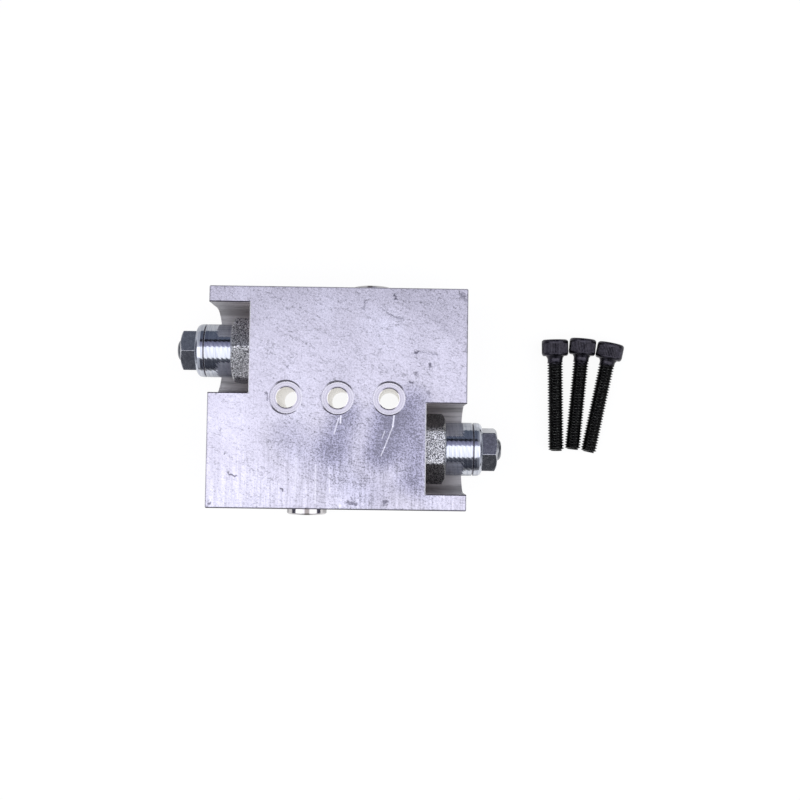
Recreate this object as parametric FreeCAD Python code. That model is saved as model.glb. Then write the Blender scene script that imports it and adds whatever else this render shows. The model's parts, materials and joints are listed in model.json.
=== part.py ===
import FreeCAD, Part
import math
import os

# Double counterbalance valve: two screw-in cartridges in one milled aluminium block.
# Lengths are in millimetres and angles in degrees.
# The origin is the middle of the mounting face, below the middle mounting hole. X runs along
# the cartridges, Y across them, and Z away from the mounting face. Cartridge a points out of the
# block along -X at +Y. Cartridge b is the same assembly turned half round about Z.

# Valve block
block_length = 88.9
block_width = 76.2
block_height = 31.75
block_edge_chamfer = 0.3
valve_offset_y = 16.95
pocket_depth = 13.95
pocket_width = 31.1
pocket_floor = 2.5
valve_axis_z = block_height / 2
pocket_wall_x = block_length / 2 - pocket_depth

# Mounting holes in a row on the middle line, and the screws that belong in them
hole_count = 3
hole_pitch = 17.7
hole_diameter = 7.0
spotface_diameter = 11.4
spotface_depth = 2.5
screw_diameter = 5.9
screw_length = 35.0
screw_head_diameter = 9.7
screw_head_height = 6.0
screw_socket_flats = 5.0
screw_socket_depth = 3.0
screw_head_rounding = 0.6
screw_neck_fillet = 0.4
screw_tip_chamfer = 0.7

# Where the loose screws lie beside the block: middle of the head's outer end, and the turn
# of each screw about Z, measured from the -Y direction
loose_screws = [(78.48, 23.87, 1.4), (88.95, 24.35, -4.9), (99.35, 22.8, -11.3)]

# Work ports in the end faces, load ports in the mounting face, pilot drillings between the sides
port_thread_diameter = 11.45
port_thread_depth = 12.5
port_spotface_diameter = 20.0
port_spotface_depth = 0.6
port_mouth_chamfer = 0.9
valve_drilling_diameter = 9.0
load_mouth_diameter = 9.0
load_mouth_depth = 5.0
load_drilling_diameter = 4.6
face_groove_diameter = 14.0
face_groove_depth = 1.4
pilot_drilling_diameter = 3.2
drill_point_slope = math.tan(math.radians(31))

# Plugs of the pilot drillings
plug_thread_diameter = 9.15
plug_thread_length = 8.0
plug_bore_spare = 1.5
plug_collar_diameter = 14.0
plug_collar_thickness = 2.7
plug_collar_chamfer = 0.5
plug_socket_flats = 5.0
plug_socket_depth = 4.5
plug_seal_width = 1.1
plug_seal_depth = 0.9
plug_seal_wall = 0.7

# Cartridge hexagon body and its screwed stem, modelled at the thread's pitch diameter
hex_flats = 22.225
hex_height = 7.25
hex_corner_rounding = 0.5
hex_chamfer_angle = 30.0
hex_face_share = 0.955
stem_diameter = 18.96
stem_length = 13.2
stem_undercut_diameter = 16.2
stem_undercut_length = 2.0
cavity_mouth_diameter = 21.0
shoulder_seal_section = 1.35

# Turn of each hexagon and locknut about its axis, from straight up
hex_turn = {"a": 3.0, "b": 23.75}
nut_turn = {"a": -5.25, "b": 13.0}

# Nose sleeve: lengths along the axis from the stem to the nose
collar_length = 2.2
pilot_zone_length = 8.2
upper_land_length = 4.2
load_zone_length = 5.4
lower_land_length = 5.1
collar_diameter = 17.9
pilot_waist_diameter = 15.2
upper_land_diameter = 17.36
load_waist_diameter = 14.6
lower_land_diameter = 15.76
nose_chamfer = 0.8
sleeve_spigot_diameter = 14.3
sleeve_spigot_length = 7.4
land_seal_section = 1.45
backup_ring_width = 0.5
pilot_cross_hole_diameter = 2.2
pilot_cross_hole_count = 4
load_cross_hole_diameter = 3.4
load_cross_hole_count = 6

# Seat, check disc and check spring in the nose
check_chamber_diameter = 11.2
seat_thickness = 2.7
seat_bore_diameter = 3.8
seat_cone_width = 0.55
check_hole_diameter = 1.5
check_hole_circle = 7.7
check_hole_count = 6
ring_thickness = 0.6
ring_depth = 0.4
ring_radial_width = 1.05
ring_gap_width = 3.0
nose_lip = 0.8
disc_thickness = 1.2
disc_diameter = 9.9
disc_bore_diameter = 5.6
check_stroke = 1.4
check_spring_wire = 0.6
check_spring_diameter = 7.8
check_spring_turns = 4.0
spring_bore_diameter = 9.0

# Piston
guide_diameter = 6.0
pilot_land_diameter = 8.4
pilot_land_length = 5.8
poppet_stem_diameter = 4.84
poppet_nose_diameter = 2.6
drain_diameter = 1.2
piston_stroke = 1.5
piston_seal_section = 0.75
pilot_seal_section = 1.0
piston_boss_diameter = 4.0
piston_boss_length = 2.2

# Main spring, its button and its seat
button_diameter = 10.4
button_thickness = 2.2
button_floor = 1.4
spring_pilot_diameter = 5.8
spring_pilot_height = 1.2
spring_wire = 1.8
spring_diameter = 10.3
spring_turns = 5.5
seat_disc_thickness = 2.0
spring_chamber_diameter = 12.4

# Bonnet, adjusting screw and locknut
bonnet_diameter = 18.9
bonnet_length = 13.0
bonnet_end_rounding = 2.6
bonnet_groove_from_end = 3.35
bonnet_groove_width = 0.6
bonnet_groove_depth = 0.5
bonnet_spigot_diameter = 14.0
bonnet_spigot_length = 5.3
bonnet_bore_diameter = 11.2
bonnet_end_wall = 5.5
adjuster_thread_diameter = 7.24
adjuster_length = 18.0
adjuster_head_length = 3.6
adjuster_seal_section = 1.2
adjuster_end_chamfer = 0.8
adjuster_socket_flats = 4.0
adjuster_socket_depth = 4.5
adjuster_proud = {"a": 1.6, "b": 1.6}
nut_flats = 13.85
nut_thickness = 5.2
nut_bore_spare = 0.08

# Fits between pieces
thread_clearance = 0.07
running_clearance = 0.03
seal_clearance = 0.02
bore_clearance = 0.1
end_clearance = 0.2

# Depths below the pocket wall, where the hexagon's shoulder seats
collar_end = stem_length + collar_length
pilot_zone_end = collar_end + pilot_zone_length
upper_land_end = pilot_zone_end + upper_land_length
load_zone_end = upper_land_end + load_zone_length
nose_depth = load_zone_end + lower_land_length
pilot_port_depth = (collar_end + pilot_zone_end) / 2
load_port_depth = (upper_land_end + load_zone_end) / 2
sleeve_top = stem_length - sleeve_spigot_length
ring_outer_face = nose_depth - nose_lip
seat_outer_face = ring_outer_face - ring_thickness - 2 * running_clearance
seat_inner_face = seat_outer_face - seat_thickness
disc_back = seat_inner_face - disc_thickness
disc_stop = disc_back - check_stroke - running_clearance
chamber_top = upper_land_end + end_clearance
guide_top = pilot_zone_end - end_clearance
pilot_land_bottom = pilot_port_depth - pilot_cross_hole_diameter / 2 - 1.0
pilot_land_top = pilot_land_bottom - pilot_land_length
boss_top = pilot_land_top - piston_boss_length
button_bottom = boss_top + button_thickness - button_floor
button_top = button_bottom - button_thickness
button_recess_depth = button_bottom + end_clearance

# Heights above the pocket wall
bonnet_end = hex_height + bonnet_length
nut_end = bonnet_end + running_clearance + nut_thickness
bonnet_bore_end = bonnet_end - bonnet_end_wall

ORIGIN = FreeCAD.Vector(0, 0, 0)
X_AXIS = FreeCAD.Vector(1, 0, 0)
Y_AXIS = FreeCAD.Vector(0, 1, 0)
Z_AXIS = FreeCAD.Vector(0, 0, 1)


def turned(outline):
    """Solid of revolution about Z from a closed outline of (radius, height) points."""
    points = [FreeCAD.Vector(radius, 0, height) for radius, height in outline]
    face = Part.Face(Part.makePolygon(points + points[:1]))
    return upright(face.revolve(ORIGIN, Z_AXIS, 360))


def upright(solid):
    """The solid with its shell facing outward."""
    if solid.Volume < 0:
        solid.reverse()
    return solid


def on_circle(radius, turn, height):
    """Point on a circle about Z, at a turn from X."""
    angle = math.radians(turn)
    return FreeCAD.Vector(radius * math.cos(angle), radius * math.sin(angle), height)


def disc(diameter, bottom, top):
    """Cylinder about Z between two heights."""
    return Part.makeCylinder(diameter / 2, top - bottom, FreeCAD.Vector(0, 0, bottom), Z_AXIS)


def tube(outer_diameter, inner_diameter, bottom, top):
    """Ring of rectangular section about Z."""
    return disc(outer_diameter, bottom, top).cut(disc(inner_diameter, bottom, top))


def seal_ring(bore_diameter, section, height):
    """O-ring squeezed between a groove's floor and the bore around it, centred at a height."""
    middle_radius = (bore_diameter - section) / 2
    return Part.makeTorus(middle_radius, section / 2 - seal_clearance, FreeCAD.Vector(0, 0, height))


def hexagon(flats, bottom, top, turn, rounding=0.0):
    """Hexagonal prism about Z, with one corner at the given turn from X."""
    corner_radius = flats / 2 / math.cos(math.radians(30))
    corners = [on_circle(corner_radius, turn + 60 * index, bottom) for index in range(6)]
    prism = Part.Face(Part.makePolygon(corners + corners[:1])).extrude(FreeCAD.Vector(0, 0, top - bottom))
    if rounding:
        uprights = [edge for edge in prism.Edges if abs(edge.tangentAt(edge.FirstParameter).z) > 0.99]
        prism = prism.makeFillet(rounding, uprights)
    return prism


def chamfered_hexagon(flats, bottom, top, turn, rounding=0.0):
    """Hexagon whose corners are turned off by a cone at the top."""
    corner_radius = flats / 2 / math.cos(math.radians(30))
    face_radius = flats / 2 * hex_face_share
    drop = (corner_radius - face_radius) * math.tan(math.radians(hex_chamfer_angle))
    envelope = turned([
        (0, bottom),
        (corner_radius, bottom),
        (corner_radius, top - drop),
        (face_radius, top),
        (0, top),
    ])
    return hexagon(flats, bottom, top, turn, rounding).common(envelope)


def ring_of_holes(count, circle_diameter, hole_diameter, bottom, top):
    """Holes parallel to Z on a circle."""
    holes = []
    for index in range(count):
        middle = on_circle(circle_diameter / 2, 360 * index / count, bottom)
        holes.append(Part.makeCylinder(hole_diameter / 2, top - bottom, middle, Z_AXIS))
    return holes


def cross_holes(count, hole_diameter, reach, height):
    """Radial holes from the axis outward, evenly spaced at one height."""
    holes = []
    for index in range(count):
        direction = on_circle(1, 360 * (index + 0.5) / count, 0)
        holes.append(Part.makeCylinder(hole_diameter / 2, reach, FreeCAD.Vector(0, 0, height), direction))
    return holes


def coil_spring(outer_diameter, wire, turns, bottom, top):
    """Compression spring of round wire with one closed turn at each end and both ends ground flat."""
    radius = (outer_diameter - wire) / 2
    closed_rise = 0.5 * wire
    free_rise = top - bottom - wire - 2 * closed_rise
    steps_per_turn = 12
    open_turns = turns - 2
    points = []
    for step in range(round(turns * steps_per_turn) + 1):
        turn = step / steps_per_turn
        share = min(max((turn - 1) / open_turns, 0), 1)
        closed = min(turn, 1) + max(turn - 1 - open_turns, 0)
        height = bottom + wire / 2 + closed * closed_rise + share * free_rise
        points.append(on_circle(radius, 360 * turn, height))
    path = Part.BSplineCurve()
    path.interpolate(points)
    spine = Part.Wire(path.toShape())
    start_tangent = path.tangent(path.FirstParameter)[0]
    section = Part.Wire(Part.makeCircle(wire / 2, points[0], start_tangent))
    return upright(spine.makePipeShell([section], True, True))


def cartridge_cavity():
    """Stepped bore of the block that takes one cartridge, with the work port's drilling below it."""
    thread_radius = stem_diameter / 2 + thread_clearance
    pilot_radius = collar_diameter / 2 + bore_clearance
    upper_radius = upper_land_diameter / 2 + thread_clearance
    load_radius = (upper_land_diameter + lower_land_diameter) / 4
    lower_radius = lower_land_diameter / 2 + thread_clearance
    mouth_radius = cavity_mouth_diameter / 2
    depths = {
        "thread": stem_length + end_clearance,
        "pilot": pilot_zone_end - end_clearance,
        "upper": upper_land_end + end_clearance,
        "load": load_zone_end - end_clearance,
        "lower": nose_depth + end_clearance,
    }
    return turned([
        (0, 0),
        (mouth_radius, 0),
        (thread_radius, thread_radius - mouth_radius),
        (thread_radius, -depths["thread"]),
        (pilot_radius, -depths["thread"]),
        (pilot_radius, -depths["pilot"]),
        (upper_radius, -depths["pilot"]),
        (upper_radius, -depths["upper"]),
        (load_radius, -depths["upper"]),
        (load_radius, -depths["load"]),
        (lower_radius, -depths["load"]),
        (lower_radius, -depths["lower"]),
        (0, -depths["lower"]),
    ])


def work_port():
    """Threaded port in the far end face on the cartridge's axis, and its drilling to the nose."""
    far_face = -(block_length - pocket_depth)
    thread_radius = port_thread_diameter / 2
    drilling_radius = valve_drilling_diameter / 2
    spot = far_face + port_spotface_depth
    thread_end = spot + port_thread_depth
    point = (thread_radius - drilling_radius) * drill_point_slope
    return turned([
        (0, far_face),
        (port_spotface_diameter / 2, far_face),
        (port_spotface_diameter / 2, spot),
        (thread_radius + port_mouth_chamfer, spot),
        (thread_radius, spot + port_mouth_chamfer),
        (thread_radius, thread_end),
        (drilling_radius, thread_end + point),
        (drilling_radius, -nose_depth),
        (0, -nose_depth),
    ])


def load_port():
    """Port from the mounting face up into the load zone, with its seal's counterbore."""
    middle = FreeCAD.Vector(load_port_depth - pocket_wall_x, valve_offset_y, 0)
    groove = Part.makeCylinder(face_groove_diameter / 2, face_groove_depth, middle, Z_AXIS)
    mouth = Part.makeCylinder(load_mouth_diameter / 2, face_groove_depth + load_mouth_depth, middle, Z_AXIS)
    drilling = Part.makeCylinder(load_drilling_diameter / 2, valve_axis_z, middle, Z_AXIS)
    return groove.fuse([mouth, drilling])


def pilot_drilling():
    """Drilling from the back face through this valve's work drilling to the other valve's pilot zone."""
    x = pocket_wall_x - pilot_port_depth
    back_face = FreeCAD.Vector(x, block_width / 2, valve_axis_z)
    plug_bore_depth = plug_thread_length + plug_bore_spare
    bore_radius = plug_thread_diameter / 2 + thread_clearance
    bore = Part.makeCylinder(bore_radius, plug_bore_depth, back_face, -Y_AXIS)
    reach = block_width / 2 + valve_offset_y - pilot_waist_diameter / 2 - end_clearance
    drilling = Part.makeCylinder(pilot_drilling_diameter / 2, reach, back_face, -Y_AXIS)
    return bore.fuse(drilling)


def pocket():
    """End pocket: straight walls from the top face down to the axis, and a round trough below it."""
    half_width = pocket_width / 2
    left = FreeCAD.Vector(-block_length / 2, valve_offset_y - half_width, valve_axis_z)
    upper = Part.makeBox(pocket_depth, pocket_width, block_height - valve_axis_z, left)
    middle = FreeCAD.Vector(-block_length / 2, valve_offset_y, valve_axis_z)
    trough = Part.makeCylinder(half_width, pocket_depth, middle, X_AXIS)
    floor_corner = FreeCAD.Vector(-block_length / 2, valve_offset_y - half_width, pocket_floor)
    above_floor = Part.makeBox(pocket_depth, pocket_width, block_height - pocket_floor, floor_corner)
    return upper.fuse(trough).common(above_floor)


def pocket_mouth():
    """Broken edge where a pocket's walls meet the top face, widening upward at 45 degrees."""
    outer_end = -block_length / 2
    outlines = []
    for widening in (0, block_edge_chamfer):
        inner_end = widening - pocket_wall_x
        near = valve_offset_y - pocket_width / 2 - widening
        far = valve_offset_y + pocket_width / 2 + widening
        height = block_height - block_edge_chamfer + widening
        corners = [(outer_end, near), (inner_end, near), (inner_end, far), (outer_end, far)]
        points = [FreeCAD.Vector(x, y, height) for x, y in corners]
        outlines.append(Part.makePolygon(points + points[:1]))
    return Part.makeLoft(outlines, True, True)


def half_turn(shape):
    """Copy of a shape turned half round about the middle of the block."""
    copy = shape.copy()
    copy.rotate(ORIGIN, Z_AXIS, 180)
    return copy


def valve_block():
    """Milled block with pockets, cavities, ports, drillings and mounting holes."""
    corner = FreeCAD.Vector(-block_length / 2, -block_width / 2, 0)
    blank = Part.makeBox(block_length, block_width, block_height, corner)
    blank = blank.makeChamfer(block_edge_chamfer, blank.Edges)
    cavity = cartridge_cavity()
    port = work_port()
    cavity.Placement = valve_placement("a")
    port.Placement = valve_placement("a")
    cuts = [pocket(), pocket_mouth(), cavity, port, load_port(), pilot_drilling()]
    cuts += [half_turn(cut) for cut in cuts]
    for index in range(hole_count):
        x = (index - (hole_count - 1) / 2) * hole_pitch
        cuts.append(Part.makeCylinder(hole_diameter / 2, block_height, FreeCAD.Vector(x, 0, 0), Z_AXIS))
        spot = FreeCAD.Vector(x, 0, block_height - spotface_depth)
        cuts.append(Part.makeCylinder(spotface_diameter / 2, spotface_depth, spot, Z_AXIS))
    return blank.cut(cuts)


def plug():
    """Collared plug with a hexagon socket, its collar seated on Z = 0 and its axis pointing out along Z."""
    collar_radius = plug_collar_diameter / 2
    thread_radius = plug_thread_diameter / 2
    seal_inner = thread_radius + plug_seal_wall
    body = turned([
        (0, -plug_thread_length),
        (thread_radius - plug_collar_chamfer, -plug_thread_length),
        (thread_radius, plug_collar_chamfer - plug_thread_length),
        (thread_radius, 0),
        (seal_inner, 0),
        (seal_inner, plug_seal_depth),
        (seal_inner + plug_seal_width, plug_seal_depth),
        (seal_inner + plug_seal_width, 0),
        (collar_radius, 0),
        (collar_radius, plug_collar_thickness - plug_collar_chamfer),
        (collar_radius - plug_collar_chamfer, plug_collar_thickness),
        (0, plug_collar_thickness),
    ])
    socket = hexagon(plug_socket_flats, plug_collar_thickness - plug_socket_depth, plug_collar_thickness, 0)
    return body.cut(socket)


def plug_seal():
    """Captive seal in the groove under the plug's collar."""
    inner = plug_thread_diameter / 2 + plug_seal_wall + seal_clearance
    outer = inner + plug_seal_width - 2 * seal_clearance
    return tube(2 * outer, 2 * inner, 0, plug_seal_depth - seal_clearance)


def face_oring():
    """Seal of a load port, pressed flush with the mounting face in its counterbore."""
    outer = face_groove_diameter / 2 - seal_clearance
    inner = load_mouth_diameter / 2 + end_clearance
    rounding = face_groove_depth / 3
    ring = tube(2 * outer, 2 * inner, 0, face_groove_depth - seal_clearance)
    rims = [edge for edge in ring.Edges if edge.Curve.TypeId == "Part::GeomCircle"]
    ring = ring.makeFillet(rounding, rims)
    ring.translate(FreeCAD.Vector(load_port_depth - pocket_wall_x, valve_offset_y, 0))
    return ring


def loose_screw(x, y, turn):
    """Socket head cap screw lying on the mounting plane on its head's rim and its thread's end."""
    head_radius = screw_head_diameter / 2
    shank_radius = screw_diameter / 2
    tip = screw_head_height + screw_length
    body = turned([
        (0, 0),
        (head_radius - screw_head_rounding, 0),
        (head_radius, screw_head_rounding),
        (head_radius, screw_head_height),
        (shank_radius + screw_neck_fillet, screw_head_height),
        (shank_radius, screw_head_height + screw_neck_fillet),
        (shank_radius, tip - screw_tip_chamfer),
        (shank_radius - screw_tip_chamfer, tip),
        (0, tip),
    ])
    body = body.cut(hexagon(screw_socket_flats, 0, screw_socket_depth, 0))
    reach = screw_length - screw_tip_chamfer
    slope = math.atan2(head_radius - shank_radius, reach)
    rim_drop = head_radius * math.cos(slope) + screw_head_height * math.sin(slope)
    tilt = FreeCAD.Rotation(X_AXIS, 90 + math.degrees(slope))
    swing = FreeCAD.Rotation(Z_AXIS, turn)
    body.Placement = FreeCAD.Placement(FreeCAD.Vector(x, y, rim_drop), swing.multiply(tilt))
    return body


def cartridge_body(turn):
    """Hexagon with the hollow screwed stem, sockets for the nose sleeve and the bonnet's spigot."""
    stem_radius = stem_diameter / 2
    undercut_radius = stem_undercut_diameter / 2
    hexagon_part = chamfered_hexagon(hex_flats, 0, hex_height, turn, hex_corner_rounding)
    stem = turned([
        (0, -stem_length),
        (stem_radius, -stem_length),
        (stem_radius, undercut_radius - stem_radius - stem_undercut_length),
        (undercut_radius, -stem_undercut_length),
        (undercut_radius, 0),
        (0, 0),
    ])
    spring_bore = disc(spring_chamber_diameter, -stem_length, hex_height)
    sleeve_bore_diameter = sleeve_spigot_diameter + 2 * running_clearance
    sleeve_bore = disc(sleeve_bore_diameter, -stem_length, end_clearance - sleeve_top)
    bonnet_bore_bottom = hex_height - bonnet_spigot_length - end_clearance
    bonnet_bore = disc(bonnet_spigot_diameter + 2 * thread_clearance, bonnet_bore_bottom, hex_height)
    return hexagon_part.fuse(stem).cut([spring_bore, sleeve_bore, bonnet_bore])


def bonnet():
    """Turned spring bonnet with a rounded outer end, one groove and a screwed spigot."""
    outer = bonnet_diameter / 2
    spigot = bonnet_spigot_diameter / 2
    groove_middle = bonnet_end - bonnet_groove_from_end
    half_groove = bonnet_groove_width / 2
    bend = bonnet_end_rounding
    lower = [
        (0, hex_height - bonnet_spigot_length),
        (spigot, hex_height - bonnet_spigot_length),
        (spigot, hex_height),
        (outer, hex_height),
        (outer, groove_middle - half_groove),
        (outer - bonnet_groove_depth, groove_middle),
        (outer, groove_middle + half_groove),
        (outer, bonnet_end - bend),
    ]
    points = [FreeCAD.Vector(radius, 0, height) for radius, height in lower]
    shoulder = bend * (1 - math.cos(math.radians(45)))
    round_middle = FreeCAD.Vector(outer - shoulder, 0, bonnet_end - shoulder)
    round_end = FreeCAD.Vector(outer - bend, 0, bonnet_end)
    rounding = Part.Arc(points[-1], round_middle, round_end).toShape()
    closing = [round_end, FreeCAD.Vector(0, 0, bonnet_end), points[0]]
    wire = Part.Wire(Part.makePolygon(points).Edges + [rounding] + Part.makePolygon(closing).Edges)
    body = upright(Part.Face(wire).revolve(ORIGIN, Z_AXIS, 360))
    chamber = disc(bonnet_bore_diameter, hex_height - bonnet_spigot_length, bonnet_bore_end)
    thread = disc(adjuster_thread_diameter + 2 * thread_clearance, bonnet_bore_end, bonnet_end)
    return body.cut([chamber, thread])


def locknut(turn):
    """Hexagon nut with its outer end's corners turned off, a little clear of the bonnet's end."""
    bottom = bonnet_end + running_clearance
    body = chamfered_hexagon(nut_flats, bottom, nut_end, turn)
    bore = disc(adjuster_thread_diameter + 2 * nut_bore_spare, bottom, nut_end)
    return body.cut(bore)


def adjuster_foot(side):
    """Height of the adjusting screw's inner face, from how far its end stands out of the nut."""
    return nut_end + adjuster_proud[side] - adjuster_length


def adjusting_screw(side):
    """Adjusting screw: sealed head inside the bonnet, threaded shank, hexagon socket in its end."""
    foot = adjuster_foot(side)
    head_top = foot + adjuster_head_length
    head_radius = bonnet_bore_diameter / 2 - running_clearance
    groove_radius = bonnet_bore_diameter / 2 - adjuster_seal_section
    groove_middle = foot + adjuster_head_length / 2
    half_groove = adjuster_seal_section * 0.6
    shank_radius = adjuster_thread_diameter / 2
    end = foot + adjuster_length
    body = turned([
        (0, foot),
        (head_radius, foot),
        (head_radius, groove_middle - half_groove),
        (groove_radius, groove_middle - half_groove),
        (groove_radius, groove_middle + half_groove),
        (head_radius, groove_middle + half_groove),
        (head_radius, head_top),
        (shank_radius, head_top),
        (shank_radius, end - adjuster_end_chamfer),
        (shank_radius - adjuster_end_chamfer, end),
        (0, end),
    ])
    return body.cut(hexagon(adjuster_socket_flats, end - adjuster_socket_depth, end, 0))


def adjusting_screw_oring(side):
    """Seal in the groove of the adjusting screw's head."""
    middle = adjuster_foot(side) + adjuster_head_length / 2
    return seal_ring(bonnet_bore_diameter, adjuster_seal_section, middle)


def seat_disc_bottom(side):
    """Height of the upper spring seat's face that the main spring pushes on."""
    return adjuster_foot(side) - running_clearance - seat_disc_thickness


def spring_seat(side):
    """Upper seat of the main spring, a disc with a short pilot inside the spring."""
    bottom = seat_disc_bottom(side)
    plate = disc(button_diameter, bottom, bottom + seat_disc_thickness)
    return plate.fuse(disc(spring_pilot_diameter, bottom - spring_pilot_height, bottom))


def main_spring(side):
    """Setting spring between the piston's button and the upper seat."""
    bottom = seal_clearance - button_top
    top = seat_disc_bottom(side) - seal_clearance
    return coil_spring(spring_diameter, spring_wire, spring_turns, bottom, top)


def spring_button():
    """Lower button of the main spring, recessed for the piston's boss and drilled for the drain."""
    boss_radius = piston_boss_diameter / 2 + running_clearance
    drain_radius = drain_diameter / 2
    return turned([
        (boss_radius, -button_bottom),
        (button_diameter / 2, -button_bottom),
        (button_diameter / 2, -button_top),
        (spring_pilot_diameter / 2, -button_top),
        (spring_pilot_diameter / 2, spring_pilot_height - button_top),
        (drain_radius, spring_pilot_height - button_top),
        (drain_radius, -boss_top),
        (boss_radius, -boss_top),
    ])


def piston():
    """Piston with sealed pilot land, sealed guide and conical poppet nose, drilled through."""
    land = pilot_land_diameter / 2 - running_clearance
    guide = guide_diameter / 2 - running_clearance
    stem = poppet_stem_diameter / 2
    nose = poppet_nose_diameter / 2
    drain = drain_diameter / 2
    pilot_groove = pilot_land_diameter / 2 - pilot_seal_section
    guide_groove = guide_diameter / 2 - piston_seal_section
    pilot_groove_middle = (pilot_land_top + pilot_land_bottom) / 2
    pilot_half = pilot_seal_section * 0.6
    guide_groove_middle = (guide_top + chamber_top + piston_stroke) / 2
    guide_half = piston_seal_section * 0.6
    boss = piston_boss_diameter / 2
    cone_top = seat_inner_face + (seat_bore_diameter / 2 + seat_cone_width - 2 * running_clearance - stem)
    return turned([
        (drain, -boss_top),
        (boss, -boss_top),
        (boss, -pilot_land_top),
        (land, -pilot_land_top),
        (land, pilot_half - pilot_groove_middle),
        (pilot_groove, pilot_half - pilot_groove_middle),
        (pilot_groove, -pilot_half - pilot_groove_middle),
        (land, -pilot_half - pilot_groove_middle),
        (land, -pilot_land_bottom),
        (guide, -pilot_land_bottom),
        (guide, guide_half - guide_groove_middle),
        (guide_groove, guide_half - guide_groove_middle),
        (guide_groove, -guide_half - guide_groove_middle),
        (guide, -guide_half - guide_groove_middle),
        (guide, -chamber_top - end_clearance),
        (stem, -chamber_top - end_clearance),
        (stem, -cone_top),
        (nose, nose - stem - cone_top),
        (drain, nose - stem - cone_top),
    ])


def piston_seal():
    """Seal of the piston's guide between the load and pilot chambers."""
    return seal_ring(guide_diameter, piston_seal_section, -(guide_top + chamber_top + piston_stroke) / 2)


def pilot_seal():
    """Seal of the piston's pilot land between the pilot and spring chambers."""
    return seal_ring(pilot_land_diameter, pilot_seal_section, -(pilot_land_top + pilot_land_bottom) / 2)


def land_groove_half_width():
    """Half the width of a land's groove, for one O-ring between two backup rings."""
    return land_seal_section / 2 + backup_ring_width + 2 * seal_clearance


def nose_sleeve():
    """Sleeve with its seal lands outside, stepped bores inside, and cross holes for the side ports."""
    upper_bore = upper_land_diameter / 2 + thread_clearance
    lower_bore = lower_land_diameter / 2 + thread_clearance
    upper_middle = (pilot_zone_end + upper_land_end) / 2
    lower_middle = (load_zone_end + nose_depth) / 2
    half = land_groove_half_width()
    chamber_radius = check_chamber_diameter / 2
    ring_groove = chamber_radius + ring_depth
    ring_inner_face = ring_outer_face - ring_thickness - 2 * running_clearance
    outline = [
        (button_diameter / 2 + bore_clearance, -sleeve_top),
        (sleeve_spigot_diameter / 2, -sleeve_top),
        (sleeve_spigot_diameter / 2, -stem_length),
        (collar_diameter / 2, -stem_length),
        (collar_diameter / 2, -collar_end),
        (pilot_waist_diameter / 2, -collar_end),
        (pilot_waist_diameter / 2, -pilot_zone_end),
        (upper_land_diameter / 2, -pilot_zone_end),
        (upper_land_diameter / 2, half - upper_middle),
        (upper_bore - land_seal_section, half - upper_middle),
        (upper_bore - land_seal_section, -half - upper_middle),
        (upper_land_diameter / 2, -half - upper_middle),
        (upper_land_diameter / 2, -upper_land_end),
        (load_waist_diameter / 2, -upper_land_end),
        (load_waist_diameter / 2, -load_zone_end),
        (lower_land_diameter / 2, -load_zone_end),
        (lower_land_diameter / 2, half - lower_middle),
        (lower_bore - land_seal_section, half - lower_middle),
        (lower_bore - land_seal_section, -half - lower_middle),
        (lower_land_diameter / 2, -half - lower_middle),
        (lower_land_diameter / 2, nose_chamfer - nose_depth),
        (lower_land_diameter / 2 - nose_chamfer, -nose_depth),
        (chamber_radius, -nose_depth),
        (chamber_radius, -ring_outer_face),
        (ring_groove, -ring_outer_face),
        (ring_groove, -ring_inner_face),
        (chamber_radius, -ring_inner_face),
        (chamber_radius, -disc_stop),
        (spring_bore_diameter / 2, -disc_stop),
        (spring_bore_diameter / 2, -chamber_top),
        (guide_diameter / 2, -chamber_top),
        (guide_diameter / 2, -guide_top),
        (pilot_land_diameter / 2, -guide_top),
        (pilot_land_diameter / 2, -button_recess_depth),
        (button_diameter / 2 + bore_clearance, -button_recess_depth),
    ]
    pilot_holes = cross_holes(
        pilot_cross_hole_count, pilot_cross_hole_diameter, collar_diameter / 2, -pilot_port_depth)
    load_holes = cross_holes(
        load_cross_hole_count, load_cross_hole_diameter, collar_diameter / 2, -load_port_depth)
    return turned(outline).cut(pilot_holes + load_holes)


def seat_insert():
    """Seat with the poppet's cone in the middle and a ring of check holes around it."""
    bore = seat_bore_diameter / 2
    rim = check_chamber_diameter / 2 - running_clearance
    body = turned([
        (bore, -seat_outer_face),
        (rim, -seat_outer_face),
        (rim, -seat_inner_face),
        (bore + seat_cone_width, -seat_inner_face),
        (bore, -seat_inner_face - seat_cone_width),
    ])
    return body.cut(ring_of_holes(
        check_hole_count, check_hole_circle, check_hole_diameter, -seat_outer_face, -seat_inner_face))


def seat_retaining_ring():
    """Split ring in the nose's groove that holds the seat."""
    outer = check_chamber_diameter / 2 + ring_depth - running_clearance
    bottom = running_clearance - ring_outer_face
    ring = tube(2 * outer, 2 * (outer - ring_radial_width), bottom, bottom + ring_thickness)
    corner = FreeCAD.Vector(0, -ring_gap_width / 2, bottom)
    return ring.cut(Part.makeBox(outer + ring_depth, ring_gap_width, ring_thickness, corner))


def check_disc():
    """Free-flow check disc on the seat's ring of holes."""
    return tube(disc_diameter, disc_bore_diameter, running_clearance - seat_inner_face, -disc_back)


def check_spring():
    """Light spring that holds the check disc on its seat."""
    return coil_spring(
        check_spring_diameter, check_spring_wire, check_spring_turns,
        seal_clearance - disc_back, -chamber_top - seal_clearance)


def shoulder_oring():
    """Seal below the hexagon's shoulder, in the stem's undercut and the cavity's mouth."""
    inner = stem_undercut_diameter / 2
    radius = shoulder_seal_section / 2
    middle = FreeCAD.Vector(0, 0, -radius - seal_clearance)
    return Part.makeTorus(inner + radius, radius - seal_clearance, middle)


def land_oring(land_diameter, middle_depth):
    """O-ring of one land of the nose sleeve."""
    return seal_ring(land_diameter + 2 * thread_clearance, land_seal_section, -middle_depth)


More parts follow.
